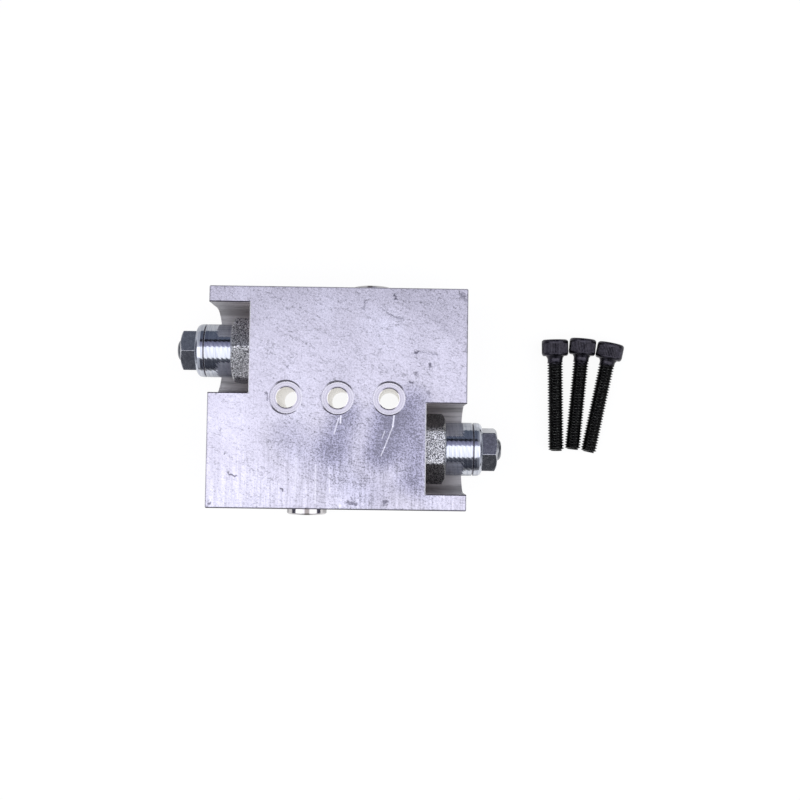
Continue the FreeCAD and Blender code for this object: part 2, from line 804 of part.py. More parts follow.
def land_backup_rings(land_diameter, middle_depth):
    """The two flat rings beside one land's O-ring."""
    outer = land_diameter + 2 * thread_clearance - 2 * seal_clearance
    inner = outer - 2 * land_seal_section + 4 * seal_clearance
    start = land_seal_section / 2 + seal_clearance
    above = tube(outer, inner, start - middle_depth, start + backup_ring_width - middle_depth)
    below = tube(outer, inner, -start - backup_ring_width - middle_depth, -start - middle_depth)
    return Part.makeCompound([above, below])


def valve_placement(side):
    """Place of a cartridge: its axis leaves the block along -X for a, and along +X for b."""
    on_its_side = FreeCAD.Rotation(Y_AXIS, -90)
    shoulder = FreeCAD.Vector(-pocket_wall_x, valve_offset_y, valve_axis_z)
    place = FreeCAD.Placement(shoulder, on_its_side)
    if side == "b":
        place = FreeCAD.Placement(ORIGIN, FreeCAD.Rotation(Z_AXIS, 180)).multiply(place)
    return place


def cartridge(side):
    """Every piece of one cartridge, built on its own axis with the shoulder at height 0."""
    upper_middle = (pilot_zone_end + upper_land_end) / 2
    lower_middle = (load_zone_end + nose_depth) / 2
    return {
        "cartridge_body": cartridge_body(hex_turn[side]),
        "bonnet": bonnet(),
        "locknut": locknut(nut_turn[side]),
        "adjusting_screw": adjusting_screw(side),
        "adjusting_screw_oring": adjusting_screw_oring(side),
        "spring_seat": spring_seat(side),
        "main_spring": main_spring(side),
        "spring_button": spring_button(),
        "piston": piston(),
        "piston_seal": piston_seal(),
        "pilot_seal": pilot_seal(),
        "nose_sleeve": nose_sleeve(),
        "seat_insert": seat_insert(),
        "seat_retaining_ring": seat_retaining_ring(),
        "check_disc": check_disc(),
        "check_spring": check_spring(),
        "shoulder_oring": shoulder_oring(),
        "upper_land_oring": land_oring(upper_land_diameter, upper_middle),
        "upper_land_backup_rings": land_backup_rings(upper_land_diameter, upper_middle),
        "lower_land_oring": land_oring(lower_land_diameter, lower_middle),
        "lower_land_backup_rings": land_backup_rings(lower_land_diameter, lower_middle),
    }


def plug_placement():
    """Place of the back plug, over the pilot drilling's mouth with its axis along +Y."""
    mouth = FreeCAD.Vector(pocket_wall_x - pilot_port_depth, block_width / 2, valve_axis_z)
    return FreeCAD.Placement(mouth, FreeCAD.Rotation(X_AXIS, -90))


def build():
    """All nodes of the valve by name."""
    nodes = {"valve_block": valve_block()}
    for side in ("a", "b"):
        for name, shape in cartridge(side).items():
            shape.Placement = valve_placement(side).multiply(shape.Placement)
            nodes[f"{name}_{side}"] = shape
    back_plug = plug()
    back_plug_seal = plug_seal()
    back_plug.Placement = plug_placement()
    back_plug_seal.Placement = plug_placement()
    nodes["back_plug"] = back_plug
    nodes["back_plug_seal"] = back_plug_seal
    nodes["front_plug"] = half_turn(back_plug)
    nodes["front_plug_seal"] = half_turn(back_plug_seal)
    nodes["face_orings"] = Part.makeCompound([face_oring(), half_turn(face_oring())])
    nodes["mounting_screws"] = Part.makeCompound([loose_screw(*place) for place in loose_screws])
    return nodes


def export(nodes):
    """One STEP file for each node."""
    os.makedirs("parts", exist_ok=True)
    for name, shape in nodes.items():
        shape.exportStep(f"parts/{name}.step")


export(build())
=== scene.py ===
import json
import math

import bpy
import numpy as np
from mathutils import Euler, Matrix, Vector


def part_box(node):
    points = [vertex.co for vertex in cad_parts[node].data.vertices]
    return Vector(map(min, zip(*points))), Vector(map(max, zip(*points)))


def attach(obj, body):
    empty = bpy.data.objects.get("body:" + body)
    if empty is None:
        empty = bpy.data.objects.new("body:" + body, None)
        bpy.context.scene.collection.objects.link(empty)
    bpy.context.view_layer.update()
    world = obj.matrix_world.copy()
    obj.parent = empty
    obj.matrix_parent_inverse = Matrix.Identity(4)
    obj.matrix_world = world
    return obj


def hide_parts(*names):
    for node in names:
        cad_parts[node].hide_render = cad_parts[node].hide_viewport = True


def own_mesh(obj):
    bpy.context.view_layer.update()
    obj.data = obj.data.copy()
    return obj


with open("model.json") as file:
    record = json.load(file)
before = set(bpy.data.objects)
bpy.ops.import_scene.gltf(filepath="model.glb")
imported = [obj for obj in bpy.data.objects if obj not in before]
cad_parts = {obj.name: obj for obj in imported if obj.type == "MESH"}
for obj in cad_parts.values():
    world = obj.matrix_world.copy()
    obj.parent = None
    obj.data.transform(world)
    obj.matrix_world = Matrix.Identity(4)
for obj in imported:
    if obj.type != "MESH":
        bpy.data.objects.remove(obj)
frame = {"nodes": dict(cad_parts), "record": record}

# Double counterbalance valve. The CAD model's lengths are named here in millimetres, and every mesh
# is written in metres, in the CAD model's own frame: origin in the middle of the mounting face, X
# along the cartridges, Z away from the mounting face.

MM = 0.001
TAU = 2 * math.pi
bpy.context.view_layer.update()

BLOCK_HEIGHT = 31.75
BLOCK_HALF_LENGTH = 44.45
BLOCK_HALF_WIDTH = 38.1
HOLE_PITCH = 17.7
BORE_RADIUS = 3.5
SPOTFACE_RADIUS = 5.7
PORT_RADIUS = 5.73
PORT_PITCH = 1.337
POCKET_WALL = 30.5
POCKET_HALF_WIDTH = 15.55
VALVE_Y = 16.95
VALVE_Z = 15.875
SIGN = {"a": -1, "b": 1}

HEX_FLATS = 22.225
HEX_HEIGHT = 7.25
HEX_TURN = {"a": 3.0, "b": 23.75}
FACE_SHARE = 0.955
STEM_LENGTH = 13.2
STEM_RADIUS = 9.48
NECK_RADIUS = 8.1
SLEEVE_SOCKET_RADIUS = 7.18
SPIGOT_SOCKET_RADIUS = 7.07
SPIGOT_RADIUS = 7.0
SPIGOT_END = 1.95
BONNET_RADIUS = 9.45
BONNET_END = 20.25
BONNET_BORE_RADIUS = 5.6
BONNET_BORE_END = 14.75
BONNET_ROUNDING = 2.1
ADJUSTER_HOLE_RADIUS = 4.05
GROOVE_HEIGHT = 16.9
GROOVE_RADIUS = 9.0
GROOVE_HALF_WIDTH = 0.2
GROOVE_HALF_MOUTH = 0.25
CHATTER_HEIGHT = 0.01
CHATTER_PITCH = 1.6
CHATTER_WAVES = 31
NUT_FLATS = 13.85
NUT_TURN = {"a": -5.25, "b": 13.0}
NUT_BOTTOM = 20.28
NUT_TOP = 25.48
ADJUSTER_PROUD = 1.6
ADJUSTER_LENGTH = 18.0
ADJUSTER_HEAD_RADIUS = 5.55
ADJUSTER_RADIUS = 3.97
ADJUSTER_THREAD_DEPTH = 0.6
ADJUSTER_SOCKET_FLATS = 4.0
PLUG_X = 11.0
PLUG_RADIUS = 4.57
COLLAR_RADIUS = 7.0
COLLAR = {"front": 2.7, "back": 2.3}
SOCKET_FLATS = 5.0
SOCKET_DEPTH = 4.5
# loose screws, each as the x and y of its head's end and its turn in degrees
SCREWS = [(78.48, 23.87, 1.4), (88.95, 24.35, -4.9), (99.35, 22.8, -11.3)]
SCREW_HEAD_RADIUS = 4.85
SCREW_HEAD_HEIGHT = 6.0
SCREW_SHANK_RADIUS = 2.95
SCREW_TIP = 41.0
SCREW_SLOPE = math.atan2(SCREW_HEAD_RADIUS - SCREW_SHANK_RADIUS, 34.3)
SCREW_THREAD_DEPTH = 0.61
SCREW_SOCKET_DEPTH = 3.0
FINE_PITCH = 1.0
KNURLS = 48
KNURL_DEPTH = 0.16
# springs as outer diameter, wire and turns, and how far their joints go
MAIN_SPRING = (10.3, 1.8, 5.5)
CHECK_SPRING = (7.8, 0.6, 4.0)
SEAT_STROKE = 3.0
PISTON_STROKE = 1.5
CHECK_STROKE = 1.4

# camera as fitted to the block's corners in the photograph, softbox and floor, these last in metres
CAMERA_TURN = (-0.0468, 0.0073, -0.0142)
CAMERA_PLACE = (21.4199, -0.755, 352.6456)
CAMERA_LENS = 46.445
SOFTBOX_SIZE = (3.0, 0.72)
SOFTBOX_PLACE = (0.02, -0.19, 0.75)
SOFTBOX_POWER = 7.9
FLOOR_HALF = 2.5
FLOOR_Z = -0.0004


# Surfaces

def in_scene(name, data):
    """New object that holds a mesh, camera or lamp, in the scene."""
    made = bpy.data.objects.new(name, data)
    bpy.context.scene.collection.objects.link(made)
    return made


def rounded(outline, cut, closed=True, steps=5):
    """Outline in (radius, height) with rounded corners. Each corner C becomes the curve
    (1-t)^2 A + 2t(1-t) C + t^2 B, where A and B lie at the corner's cut along its two runs.
    An open outline keeps its two ends."""
    points = np.array(outline, float)
    corner = points if closed else points[1:-1]
    before = (np.roll(points, 1, axis=0) if closed else points[:-2]) - corner
    after = (np.roll(points, -1, axis=0) if closed else points[2:]) - corner
    cut = np.broadcast_to(np.array(cut, float), len(corner))[:, None]
    start = corner + cut * before / np.linalg.norm(before, axis=1, keepdims=True)
    end = corner + cut * after / np.linalg.norm(after, axis=1, keepdims=True)
    t = np.linspace(0, 1, steps)[None, :, None]
    start, corner, end = start[:, None], corner[:, None], end[:, None]
    curve = ((1 - t) ** 2 * start + 2 * t * (1 - t) * corner + t ** 2 * end).reshape(-1, 2)
    return curve if closed else np.vstack([points[:1], curve, points[-1:]])


def filled(profile, spacing, closed=False):
    """Profile with points added along its runs: each run of length L is cut in ceil(L / spacing)
    parts. The spacing is one length, or one for each run."""
    if closed:
        profile = np.vstack([profile, profile[:1]])
    step = np.diff(profile, axis=0)
    count = np.maximum(np.ceil(np.linalg.norm(step, axis=1) / spacing), 1).astype(int)
    run = np.repeat(np.arange(len(step)), count)
    share = (np.arange(len(run)) - np.repeat(np.cumsum(count) - count, count)) / count[run]
    points = profile[run] + share[:, None] * step[run]
    return points if closed else np.vstack([points, profile[-1:]])


def even_angles(columns):
    """Angles of columns set evenly round an axis."""
    return np.arange(columns) * TAU / columns


def turned(profile, columns):
    """Radius and height of a turned profile, alike at every column."""
    return np.repeat(profile[:, :1], columns, axis=1), np.repeat(profile[:, 1:], columns, axis=1)


def corner_angles(turn, per_face=24):
    """Angles round an axis, crowded at a hexagon's corners: within each sixth the share u becomes
    u - 0.9 sin(2 pi u) / 2 pi."""
    u = np.arange(per_face) / per_face
    share = u - 0.9 * np.sin(TAU * u) / TAU
    return math.radians(turn) + (np.arange(6)[:, None] + share).reshape(-1) * math.pi / 3


def hexagon_radius(angle, flats, turn, sharpness):
    """Radius of a hexagon with soft corners at an angle: half the width across flats times
    (sum over its three face pairs of |cos(angle - face)|^p)^(-1/p), p being the sharpness."""
    faces = math.radians(turn + 30) + np.arange(3) * math.pi / 3
    cosines = np.abs(np.cos(angle[..., None] - faces))
    return flats / 2 * np.sum(cosines ** sharpness, axis=-1) ** (-1 / sharpness)


def hexagon_end(flats):
    """A hexagon's corner radius, its end face's radius, and how far that face's 30 degree chamfer
    drops to the corner: (corner - face) tan 30."""
    corner = flats / 2 / math.cos(math.pi / 6)
    face = flats / 2 * FACE_SHARE
    return corner, face, (corner - face) * math.tan(math.pi / 6)


def ring_surface(name, radius, height, angle, origin, axes, closed=False):
    """Surface of rings about an axis: row i and column j lie at radius cos(angle), radius sin(angle)
    and height, each carried to origin + x axes[0] + y axes[1] + z axes[2] in millimetres. The last
    row joins the first on a closed profile; otherwise each end is closed by a point in its row's
    middle."""
    rows, columns = radius.shape
    local = np.stack([radius * np.cos(angle), radius * np.sin(angle), height], axis=-1)
    local = local.reshape(-1, 3)
    if not closed:
        local = np.vstack([local, [local[:columns].mean(axis=0), local[-columns:].mean(axis=0)]])
    points = (np.array(origin) + local @ np.array(axes, float)) * MM
    row = np.arange(rows if closed else rows - 1)[:, None]
    following = (row + 1) % rows
    here = np.arange(columns)
    there = (here + 1) % columns
    quads = np.stack([row * columns + here, row * columns + there,
                      following * columns + there, following * columns + here], axis=-1)
    quads = quads.reshape(-1, 4)
    caps = np.empty((0, 3), int)
    if not closed:
        middle = np.full(columns, rows * columns)
        last = (rows - 1) * columns
        caps = np.vstack([np.stack([middle, there, here], axis=-1),
                          np.stack([middle + 1, last + here, last + there], axis=-1)])
    triangles = np.vstack([quads[:, [0, 1, 2]], quads[:, [0, 2, 3]], caps])
    corner = points[triangles]
    if np.einsum("ij,ij->", corner[:, 0], np.cross(corner[:, 1], corner[:, 2])) < 0:
        quads = quads[:, ::-1]
        caps = caps[:, ::-1]
    mesh = bpy.data.meshes.new(name)
    mesh.from_pydata(points.tolist(), [], quads.tolist() + caps.tolist())
    mesh.update()
    mesh.shade_smooth()
    mesh.set_sharp_from_angle(angle=math.radians(34))
    return in_scene(name, mesh)


def cartridge_place(side):
    """Origin and axes of a cartridge: local z leaves the block, local x points up."""
    sign = SIGN[side]
    origin = (sign * POCKET_WALL, -sign * VALVE_Y, VALVE_Z)
    return origin, [(0, 0, 1), (0, -sign, 0), (sign, 0, 0)]


def thread_share(height, angle, pitch):
    """Height of a thread's flank from 0 at the root to 1 at the crest, on the helix where
    height / pitch - angle / 2 pi is whole: w = |2t - 1| of that phase's fraction t, flat below 0.25
    and above 0.875."""
    phase = np.mod(height / pitch - angle / TAU, 1)
    return np.clip((np.abs(2 * phase - 1) - 0.25) / 0.625, 0, 1)


def socket_rows(mouth, depth, flats, angle, direction):
    """Rows of a hexagon socket from its broken mouth down to its floor, that dips toward the middle:
    each row is a share of the hexagon's radius and of the depth."""
    share = np.array([1.1, 1.0, 1.0, 0.98, 0.6])[:, None]
    drop = np.array([0.0, 0.08, 0.995, 1.0, 1.06])[:, None] * depth
    radius = share * hexagon_radius(angle, flats, 0, 60)
    return radius, np.broadcast_to(mouth + direction * drop, radius.shape)


# Pieces

def bonnet(side):
    """Turned spring bonnet. Its outside carries the tool's chatter, a wave about 0.02 mm deep, of
    1.6 mm pitch along the axis and 31 round: cos(2 pi h / 1.6 - 31 angle) - 1. It fades at both ends
    and is deepest on the side that faces the front, by 0.65 + 0.5 sin(angle), turned on side a."""
    outline = [(SPIGOT_RADIUS, SPIGOT_END), (SPIGOT_RADIUS, HEX_HEIGHT), (BONNET_RADIUS, HEX_HEIGHT),
               (BONNET_RADIUS, GROOVE_HEIGHT - GROOVE_HALF_MOUTH),
               (GROOVE_RADIUS, GROOVE_HEIGHT - GROOVE_HALF_WIDTH),
               (GROOVE_RADIUS, GROOVE_HEIGHT + GROOVE_HALF_WIDTH),
               (BONNET_RADIUS, GROOVE_HEIGHT + GROOVE_HALF_MOUTH), (BONNET_RADIUS, BONNET_END),
               (ADJUSTER_HOLE_RADIUS + 0.2, BONNET_END), (ADJUSTER_HOLE_RADIUS, BONNET_END - 0.2),
               (ADJUSTER_HOLE_RADIUS, BONNET_BORE_END), (BONNET_BORE_RADIUS, BONNET_BORE_END),
               (BONNET_BORE_RADIUS, SPIGOT_END)]
    cut = [0.2, 0.1, 0.2, 0.08, 0.08, 0.08, 0.08, BONNET_ROUNDING, 0.05, 0.05, 0.1, 0.1, 0.2]
    rough = rounded(outline, cut)
    profile = filled(rough, np.where(rough[:, 0] > GROOVE_RADIUS - 0.2, 0.14, 1.5), closed=True)
    angle = even_angles(360)
    radius, height = turned(profile, len(angle))
    window = np.clip((height - HEX_HEIGHT) / 0.6, 0, 1)
    window = window * np.clip((BONNET_END - 2.0 - height) / 1.2, 0, 1)
    outside = np.clip((profile[:, :1] - (BONNET_RADIUS - 0.1)) / 0.1, 0, 1)
    facing = 0.65 + 0.5 * np.sin(angle) * SIGN[side]
    wave = np.cos(TAU * height / CHATTER_PITCH - CHATTER_WAVES * angle) - 1
    radius = radius + CHATTER_HEIGHT * facing * window * outside * wave
    return ring_surface(f"spring_bonnet_{side}", radius, height, angle, *cartridge_place(side),
                        closed=True)


def capped_hexagon(name, side, outline, cut, flats, turn, sharpness):
    """Ring piece whose outside is a hexagon: every radius is the least of the turned outline's and
    the soft hexagon's, so that the outline's cone turns the corners off."""
    angle = corner_angles(turn)
    profile = filled(rounded(outline, cut), 0.3, closed=True)
    radius, height = turned(profile, len(angle))
    radius = np.minimum(radius, hexagon_radius(angle, flats, turn, sharpness)[None, :])
    return ring_surface(name, radius, height, angle, *cartridge_place(side), closed=True)


def locknut(side):
    """Hexagon locknut with the corners of its outer end turned off."""
    corner, face, drop = hexagon_end(NUT_FLATS)
    outline = [(corner, NUT_BOTTOM), (corner, NUT_TOP - drop), (face, NUT_TOP), (4.35, NUT_TOP),
               (4.06, NUT_TOP - 0.3), (4.06, NUT_BOTTOM)]
    cut = [0.05, 0.25, 0.25, 0.08, 0.08, 0.1]
    return capped_hexagon(f"hexagon_locknut_{side}", side, outline, cut, NUT_FLATS, NUT_TURN[side],
                          sharpness=130)


def cartridge_body(side):
    """Blasted hexagon body with its hollow stem, stepped inside for the bonnet's spigot and the
    sleeve."""
    corner, face, drop = hexagon_end(HEX_FLATS)
    outline = [(corner, 0), (corner, HEX_HEIGHT - drop), (face, HEX_HEIGHT),
               (SPIGOT_SOCKET_RADIUS, HEX_HEIGHT), (SPIGOT_SOCKET_RADIUS, SPIGOT_END - 0.2),
               (6.2, SPIGOT_END - 0.2), (6.2, -5.6), (SLEEVE_SOCKET_RADIUS, -5.6),
               (SLEEVE_SOCKET_RADIUS, -STEM_LENGTH), (STEM_RADIUS, -STEM_LENGTH), (STEM_RADIUS, -3.4),
               (NECK_RADIUS, -2.0), (NECK_RADIUS, 0)]
    cut = [0.1, 0.35, 0.3, 0.1, 0.05, 0.05, 0.05, 0.05, 0.1, 0.3, 0.1, 0.05, 0.05]
    return capped_hexagon(f"hexagon_body_{side}", side, outline, cut, HEX_FLATS, HEX_TURN[side],
                          sharpness=32)


def adjusting_screw(side):
    """Adjusting screw: sealed head with its groove, M8 x 1 thread, domed end with a 4 mm socket."""
    foot = NUT_TOP + ADJUSTER_PROUD - ADJUSTER_LENGTH
    end = foot + ADJUSTER_LENGTH
    head = ADJUSTER_HEAD_RADIUS
    outline = [(0, foot), (head, foot), (head, foot + 1.08), (4.4, foot + 1.08), (4.4, foot + 2.52),
               (head, foot + 2.52), (head, foot + 3.6), (3.4, foot + 3.6), (3.4, foot + 4.4),
               (ADJUSTER_RADIUS, foot + 5.0), (ADJUSTER_RADIUS, end - 1.15), (3.55, end - 0.5),
               (2.75, end), (2.5, end)]
    cut = [0.1, 0.05, 0.05, 0.05, 0.05, 0.1, 0.1, 0.1, 0.1, 0.3, 0.3, 0.15]
    profile = filled(rounded(outline, cut, closed=False)[1:], 0.1)
    angle = even_angles(96)
    radius, height = turned(profile, len(angle))
    threaded = (height > foot + 4.6) & (height < end - 1.6)
    root = ADJUSTER_THREAD_DEPTH * (1 - thread_share(height, angle, FINE_PITCH))
    radius = np.where(threaded, radius - root, radius)
    socket, depth = socket_rows(end, SOCKET_DEPTH, ADJUSTER_SOCKET_FLATS, angle, -1)
    return ring_surface(f"setting_screw_{side}", np.vstack([radius, socket]),
                        np.vstack([height, depth]), angle, *cartridge_place(side))


def plug(name, sign, collar):
    """Collared plug of a pilot drilling, its axis leaving the block's side along Y."""
    outline = [(0, -8), (4.1, -8), (PLUG_RADIUS, -7.5), (PLUG_RADIUS, 0), (5.28, 0), (5.28, 0.88),
               (6.37, 0.88), (6.37, 0), (COLLAR_RADIUS, 0), (COLLAR_RADIUS, collar - 0.6),
               (6.45, collar - 0.16), (4.8, collar), (3.3, collar)]
    cut = [0.1, 0.1, 0.05, 0.05, 0.05, 0.05, 0.05, 0.08, 0.2, 0.12, 0.2]
    profile = filled(rounded(outline, cut, closed=False)[1:], 0.25)
    angle = even_angles(192)
    radius, height = turned(profile, len(angle))
    socket, depth = socket_rows(collar, SOCKET_DEPTH, SOCKET_FLATS, angle, -1)
    origin = (sign * PLUG_X, sign * BLOCK_HALF_WIDTH, VALVE_Z)
    axes = [(1, 0, 0), (0, 0, -sign), (0, sign, 0)]
    return ring_surface(name, np.vstack([radius, socket]), np.vstack([height, depth]), angle, origin,
                        axes)


def mounting_screw(number):
    """M6 socket head cap screw lying beside the block. Its head carries straight knurls, a groove
    0.16 mm deep at every third column, and its shank a 1 mm thread that runs out below a waisted
    neck."""
    x, y, turn = SCREWS[number - 1]
    head, top = SCREW_HEAD_RADIUS, SCREW_HEAD_HEIGHT
    shank, tip = SCREW_SHANK_RADIUS, SCREW_TIP
    outline = [(2.95, 0), (head - 0.55, 0), (head, 0.55), (head, top - 0.7), (head - 0.45, top),
               (3.35, top), (2.8, top + 0.9), (2.72, top + 1.9), (shank, top + 2.5),
               (shank, tip - 0.7), (2.25, tip), (0, tip)]
    cut = [0.3, 0.4, 0.35, 0.3, 0.1, 0.3, 0.3, 0.2, 0.2, 0.2]
    profile = filled(rounded(outline, cut, closed=False)[:-1], 0.1)
    angle = even_angles(3 * KNURLS)
    radius, height = turned(profile, len(angle))
    knurl = np.clip((height - 1.2) / 0.4, 0, 1) * np.clip((top - 0.9 - height) / 0.2, 0, 1)
    on_head = profile[:, :1] > head - 0.1
    radius = radius - KNURL_DEPTH * knurl * on_head * (np.arange(len(angle)) % 3 == 0)
    runout = np.clip((height - top - 2.1) / 0.6, 0, 1) * np.clip((tip + 0.4 - height) / 0.6, 0, 1)
    root = 1 - thread_share(height, angle, FINE_PITCH)
    radius = radius - SCREW_THREAD_DEPTH * runout * (radius < shank + 0.1) * root
    socket, depth = socket_rows(0, SCREW_SOCKET_DEPTH, SOCKET_FLATS, angle, 1)
    radius = np.vstack([socket[::-1], radius])
    height = np.vstack([depth[::-1], height])
    rise = head * math.cos(SCREW_SLOPE) + top * math.sin(SCREW_SLOPE)
    swing = Euler((0, 0, math.radians(turn))).to_matrix()
    tilt = Euler((math.radians(90) + SCREW_SLOPE, 0, 0)).to_matrix()
    axes = np.array(swing @ tilt).T
    return ring_surface(f"cap_screw_{number}", radius, height, angle, (x, y, rise), axes)


def coil(name, side, node, spring, first, last):
    """Part of a compression spring of round wire, from share first to share last of its turns. The
    wire's middle runs round the axis at half of outer diameter less wire; it rises by half a wire in
    each end turn and evenly between, and round it lies the wire's circle, at radius cos(around) out
    and radius sin(around) up."""
    outer, wire, turns = spring
    foot, top = sorted(SIGN[side] * corner[0] / MM - POCKET_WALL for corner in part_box(node))
    turn = np.linspace(first, last, int(48 * turns * (last - first)) + 1)[:, None] * turns
    rise = np.interp(turn, [0, 1, turns - 1, turns],
                     [foot + wire / 2, foot + wire, top - wire, top - wire / 2])
    around = even_angles(16)
    radius = (outer - wire) / 2 + wire / 2 * np.cos(around) + 0 * turn
    height = rise + wire / 2 * np.sin(around)
    return ring_surface(name, radius, height, TAU * turn, *cartridge_place(side))


# Materials

def linear(hex_colour):
    """Linear colour of an sRGB hex value."""
    values = [int(hex_colour[i:i + 2], 16) / 255 for i in (1, 3, 5)]
    return (*[v / 12.92 if v <= 0.04045 else ((v + 0.055) / 1.055) ** 2.4 for v in values], 1.0)


# settings with which a Mix node mixes colours
COLOURS = {"output": 2, "data_type": "RGBA"}


def add(tree, kind, inputs=(), output=0, stops=(), **settings):
    """New node with its settings, a ramp's stops, and its inputs' values or links, given in their
    order or by their keys. Gives one output. A Mix node's keys are 0 for its share, 2 and 3 for two
    values, 6 and 7 for two colours."""
    node = tree.nodes.new("ShaderNode" + kind)
    for name, value in settings.items():
        setattr(node, name, value)
    for key, value in inputs.items() if isinstance(inputs, dict) else enumerate(inputs):
        if isinstance(value, bpy.types.NodeSocket):
            tree.links.new(value, node.inputs[key])
        else:
            node.inputs[key].default_value = value
    if stops:
        elements = node.color_ramp.elements
        while len(elements) < len(stops):
            elements.new(0.5)
        for element, (position, colour) in zip(elements, stops):
            element.position = position
            element.color = linear(colour) if isinstance(colour, str) else (colour, colour, colour, 1)
    return node.outputs[output] if len(node.outputs) else None


def empty_tree(owner):
    """The emptied node tree of a material or world."""
    owner.use_nodes = True
    owner.node_tree.nodes.clear()
    return owner.node_tree


def material(maker):
    """New material under its maker's name. The maker gets its tree and the piece's own coordinates
    in millimetres."""
    made = bpy.data.materials.new(maker.__name__)
    tree = empty_tree(made)
    place = add(tree, "TexCoord", output="Object")
    maker(tree, add(tree, "VectorMath", {0: place, "Scale": 1 / MM}, operation="SCALE"))
    return made


def finish(tree, colour, roughness, height, depth, metallic=1.0, **more):
    """Principled surface from a colour, a roughness and a bump height, whose full depth is in mm."""
    bump = add(tree, "Bump", {"Height": height, "Distance": depth * MM})
    inputs = {"Base Color": colour, "Roughness": roughness, "Metallic": metallic, "Normal": bump}
    add(tree, "OutputMaterial", {"Surface": add(tree, "BsdfPrincipled", {**inputs, **more})})


def one_noise(tree, noise, low, high, roughness, depth, **more):
    """Plain finish whose colour, from low to high, and bump follow one noise."""
    colour = add(tree, "ValToRGB", (noise,), stops=[(0.3, low), (0.7, high)])
    finish(tree, colour, roughness, noise, depth, **more)


def turning_lines(tree, mm, lines):
    """Marks of a turning tool or grinding wheel: noise with that many lines per mm along each
    axis."""
    place = add(tree, "VectorMath", (mm, lines), operation="MULTIPLY")
    return add(tree, "TexNoise", {"Vector": place, "Scale": 1.0})


# Marks on the block's top face, each as start, run, width and amount, in mm: sweeps of painted dark
# reflection, nicks and scratches, placed after the photograph
PAINTED_REFLECTION_SWEEPS = [((-41, -6), (6, -20), 20, 0.12), ((17.8, -6), (-2.5, -12), 10, -0.6),
          ((25.5, -2), (2, -24), 10.5, -0.42), ((3, -6), (-3.5, -11), 9.5, -0.42),
          ((-16, -14), (26, -18), 14, -0.2), ((22, -29), (10, -6), 7, -0.1)]
NICKS = [((19.0, 35.5), (0.6, -0.8), 0.9, 0.9), ((9.3, 33.7), (-1.0, -3.0), 0.6, 0.4),
         ((26.1, 15.7), (1.2, 0.6), 0.85, 0.9), ((28.4, 16.4), (5.8, -0.9), 0.4, 0.35),
         ((31.4, 12.0), (0.3, -0.5), 0.8, 0.9), ((26.6, 9.2), (0.3, -0.6), 0.7, 0.6),
         ((24.8, 5.8), (0.5, -0.2), 0.85, 0.9), ((31.0, 2.6), (0.5, -1.6), 0.6, 0.45),
         ((-36.6, -26.2), (2.3, -1.1), 0.7, 0.85), ((-18.9, -31.2), (1.0, -0.4), 0.75, 0.9),
         ((-38.2, -19.4), (0.2, 0.1), 0.6, 0.7), ((-39.8, -11.2), (0.0, -1.0), 0.4, 0.5),
         ((3.6, -35.6), (3.4, -0.5), 0.95, 0.75), ((5.2, -33.6), (1.0, -1.4), 0.5, 0.5),
         ((16.4, -35.4), (1.2, 0.2), 0.9, 0.8), ((-24.2, 1.2), (0.4, -2.4), 0.6, 0.6),
         ((-12.3, 0.4), (-0.5, -1.4), 0.6, 0.7), ((-5.6, 0.4), (0.4, -2.0), 0.6, 0.5),
         ((-17.0, 10.5), (0.1, 0.0), 0.5, 0.6), ((14.0, 31.5), (3.4, -2.6), 0.3, 0.3),
         ((17.4, 28.9), (5.0, -1.6), 0.45, 0.45), ((42.2, 36.4), (1.0, -1.6), 1.2, 0.6),
         ((33.0, 28.0), (6.0, -5.0), 2.6, 0.14), ((-42.8, -36.6), (0.1, 0.1), 0.6, 0.8)]
SCRATCHES = [((1.3, -6.2), (-0.1, -2.4), 0.45, 0.8), ((0.6, -6.9), (-1.5, -5.4), 0.34, 0.6),
             ((19.5, -5.7), (-0.4, -3.8), 0.45, 0.8), ((19.1, -9.5), (-2.7, -7.2), 0.34, 0.55),
             ((16.4, -16.7), (-1.2, -2.8), 0.3, 0.6), ((16.4, -11.2), (-0.9, -2.4), 0.3, 0.5),
             ((-27.0, -22.0), (0.0, -6.0), 0.4, 0.3), ((-13.6, -20.0), (-0.3, -14.0), 0.5, 0.3),
             ((-7.0, -23.0), (0.0, -13.0), 0.5, 0.4), ((-2.4, -24.0), (0.1, -8.0), 0.4, 0.3)]


def stroke_group():
    """Node group of one soft stroke: 1 on the run from Start along Run, falling to 0 at Width."""
    group = bpy.data.node_groups.new("stroke", "ShaderNodeTree")
    sockets = {"Vector": "Vector", "Start": "Vector", "Run": "Vector", "Width": "Float"}
    for name, kind in sockets.items():
        group.interface.new_socket(name, in_out="INPUT", socket_type="NodeSocket" + kind)
    group.interface.new_socket("Mask", in_out="OUTPUT", socket_type="NodeSocketFloat")
    entry = group.nodes.new("NodeGroupInput").outputs
    away = add(group, "VectorMath", (entry["Vector"], entry["Start"]), operation="SUBTRACT")
    along = add(group, "VectorMath", (away, entry["Run"]), output="Value", operation="DOT_PRODUCT")
    square = add(group, "VectorMath", (entry["Run"],) * 2, output="Value", operation="DOT_PRODUCT")
    share = add(group, "Math", (along, square), operation="DIVIDE", use_clamp=True)
    reach = add(group, "VectorMath", {0: entry["Run"], "Scale": share}, operation="SCALE")
    apart = add(group, "VectorMath", (away, reach), output="Value", operation="DISTANCE")
    mask = add(group, "MapRange", (apart, 0.0, entry["Width"], 1.0, 0.0),
               interpolation_type="SMOOTHSTEP")
    group.links.new(mask, group.nodes.new("NodeGroupOutput").inputs["Mask"])
    return group


def stroke(tree, group, place, at, run, width):
    """Mask of one stroke on the top face."""
    return add(tree, "Group", (place, (*at, BLOCK_HEIGHT), (*run, 0), width), node_tree=group)


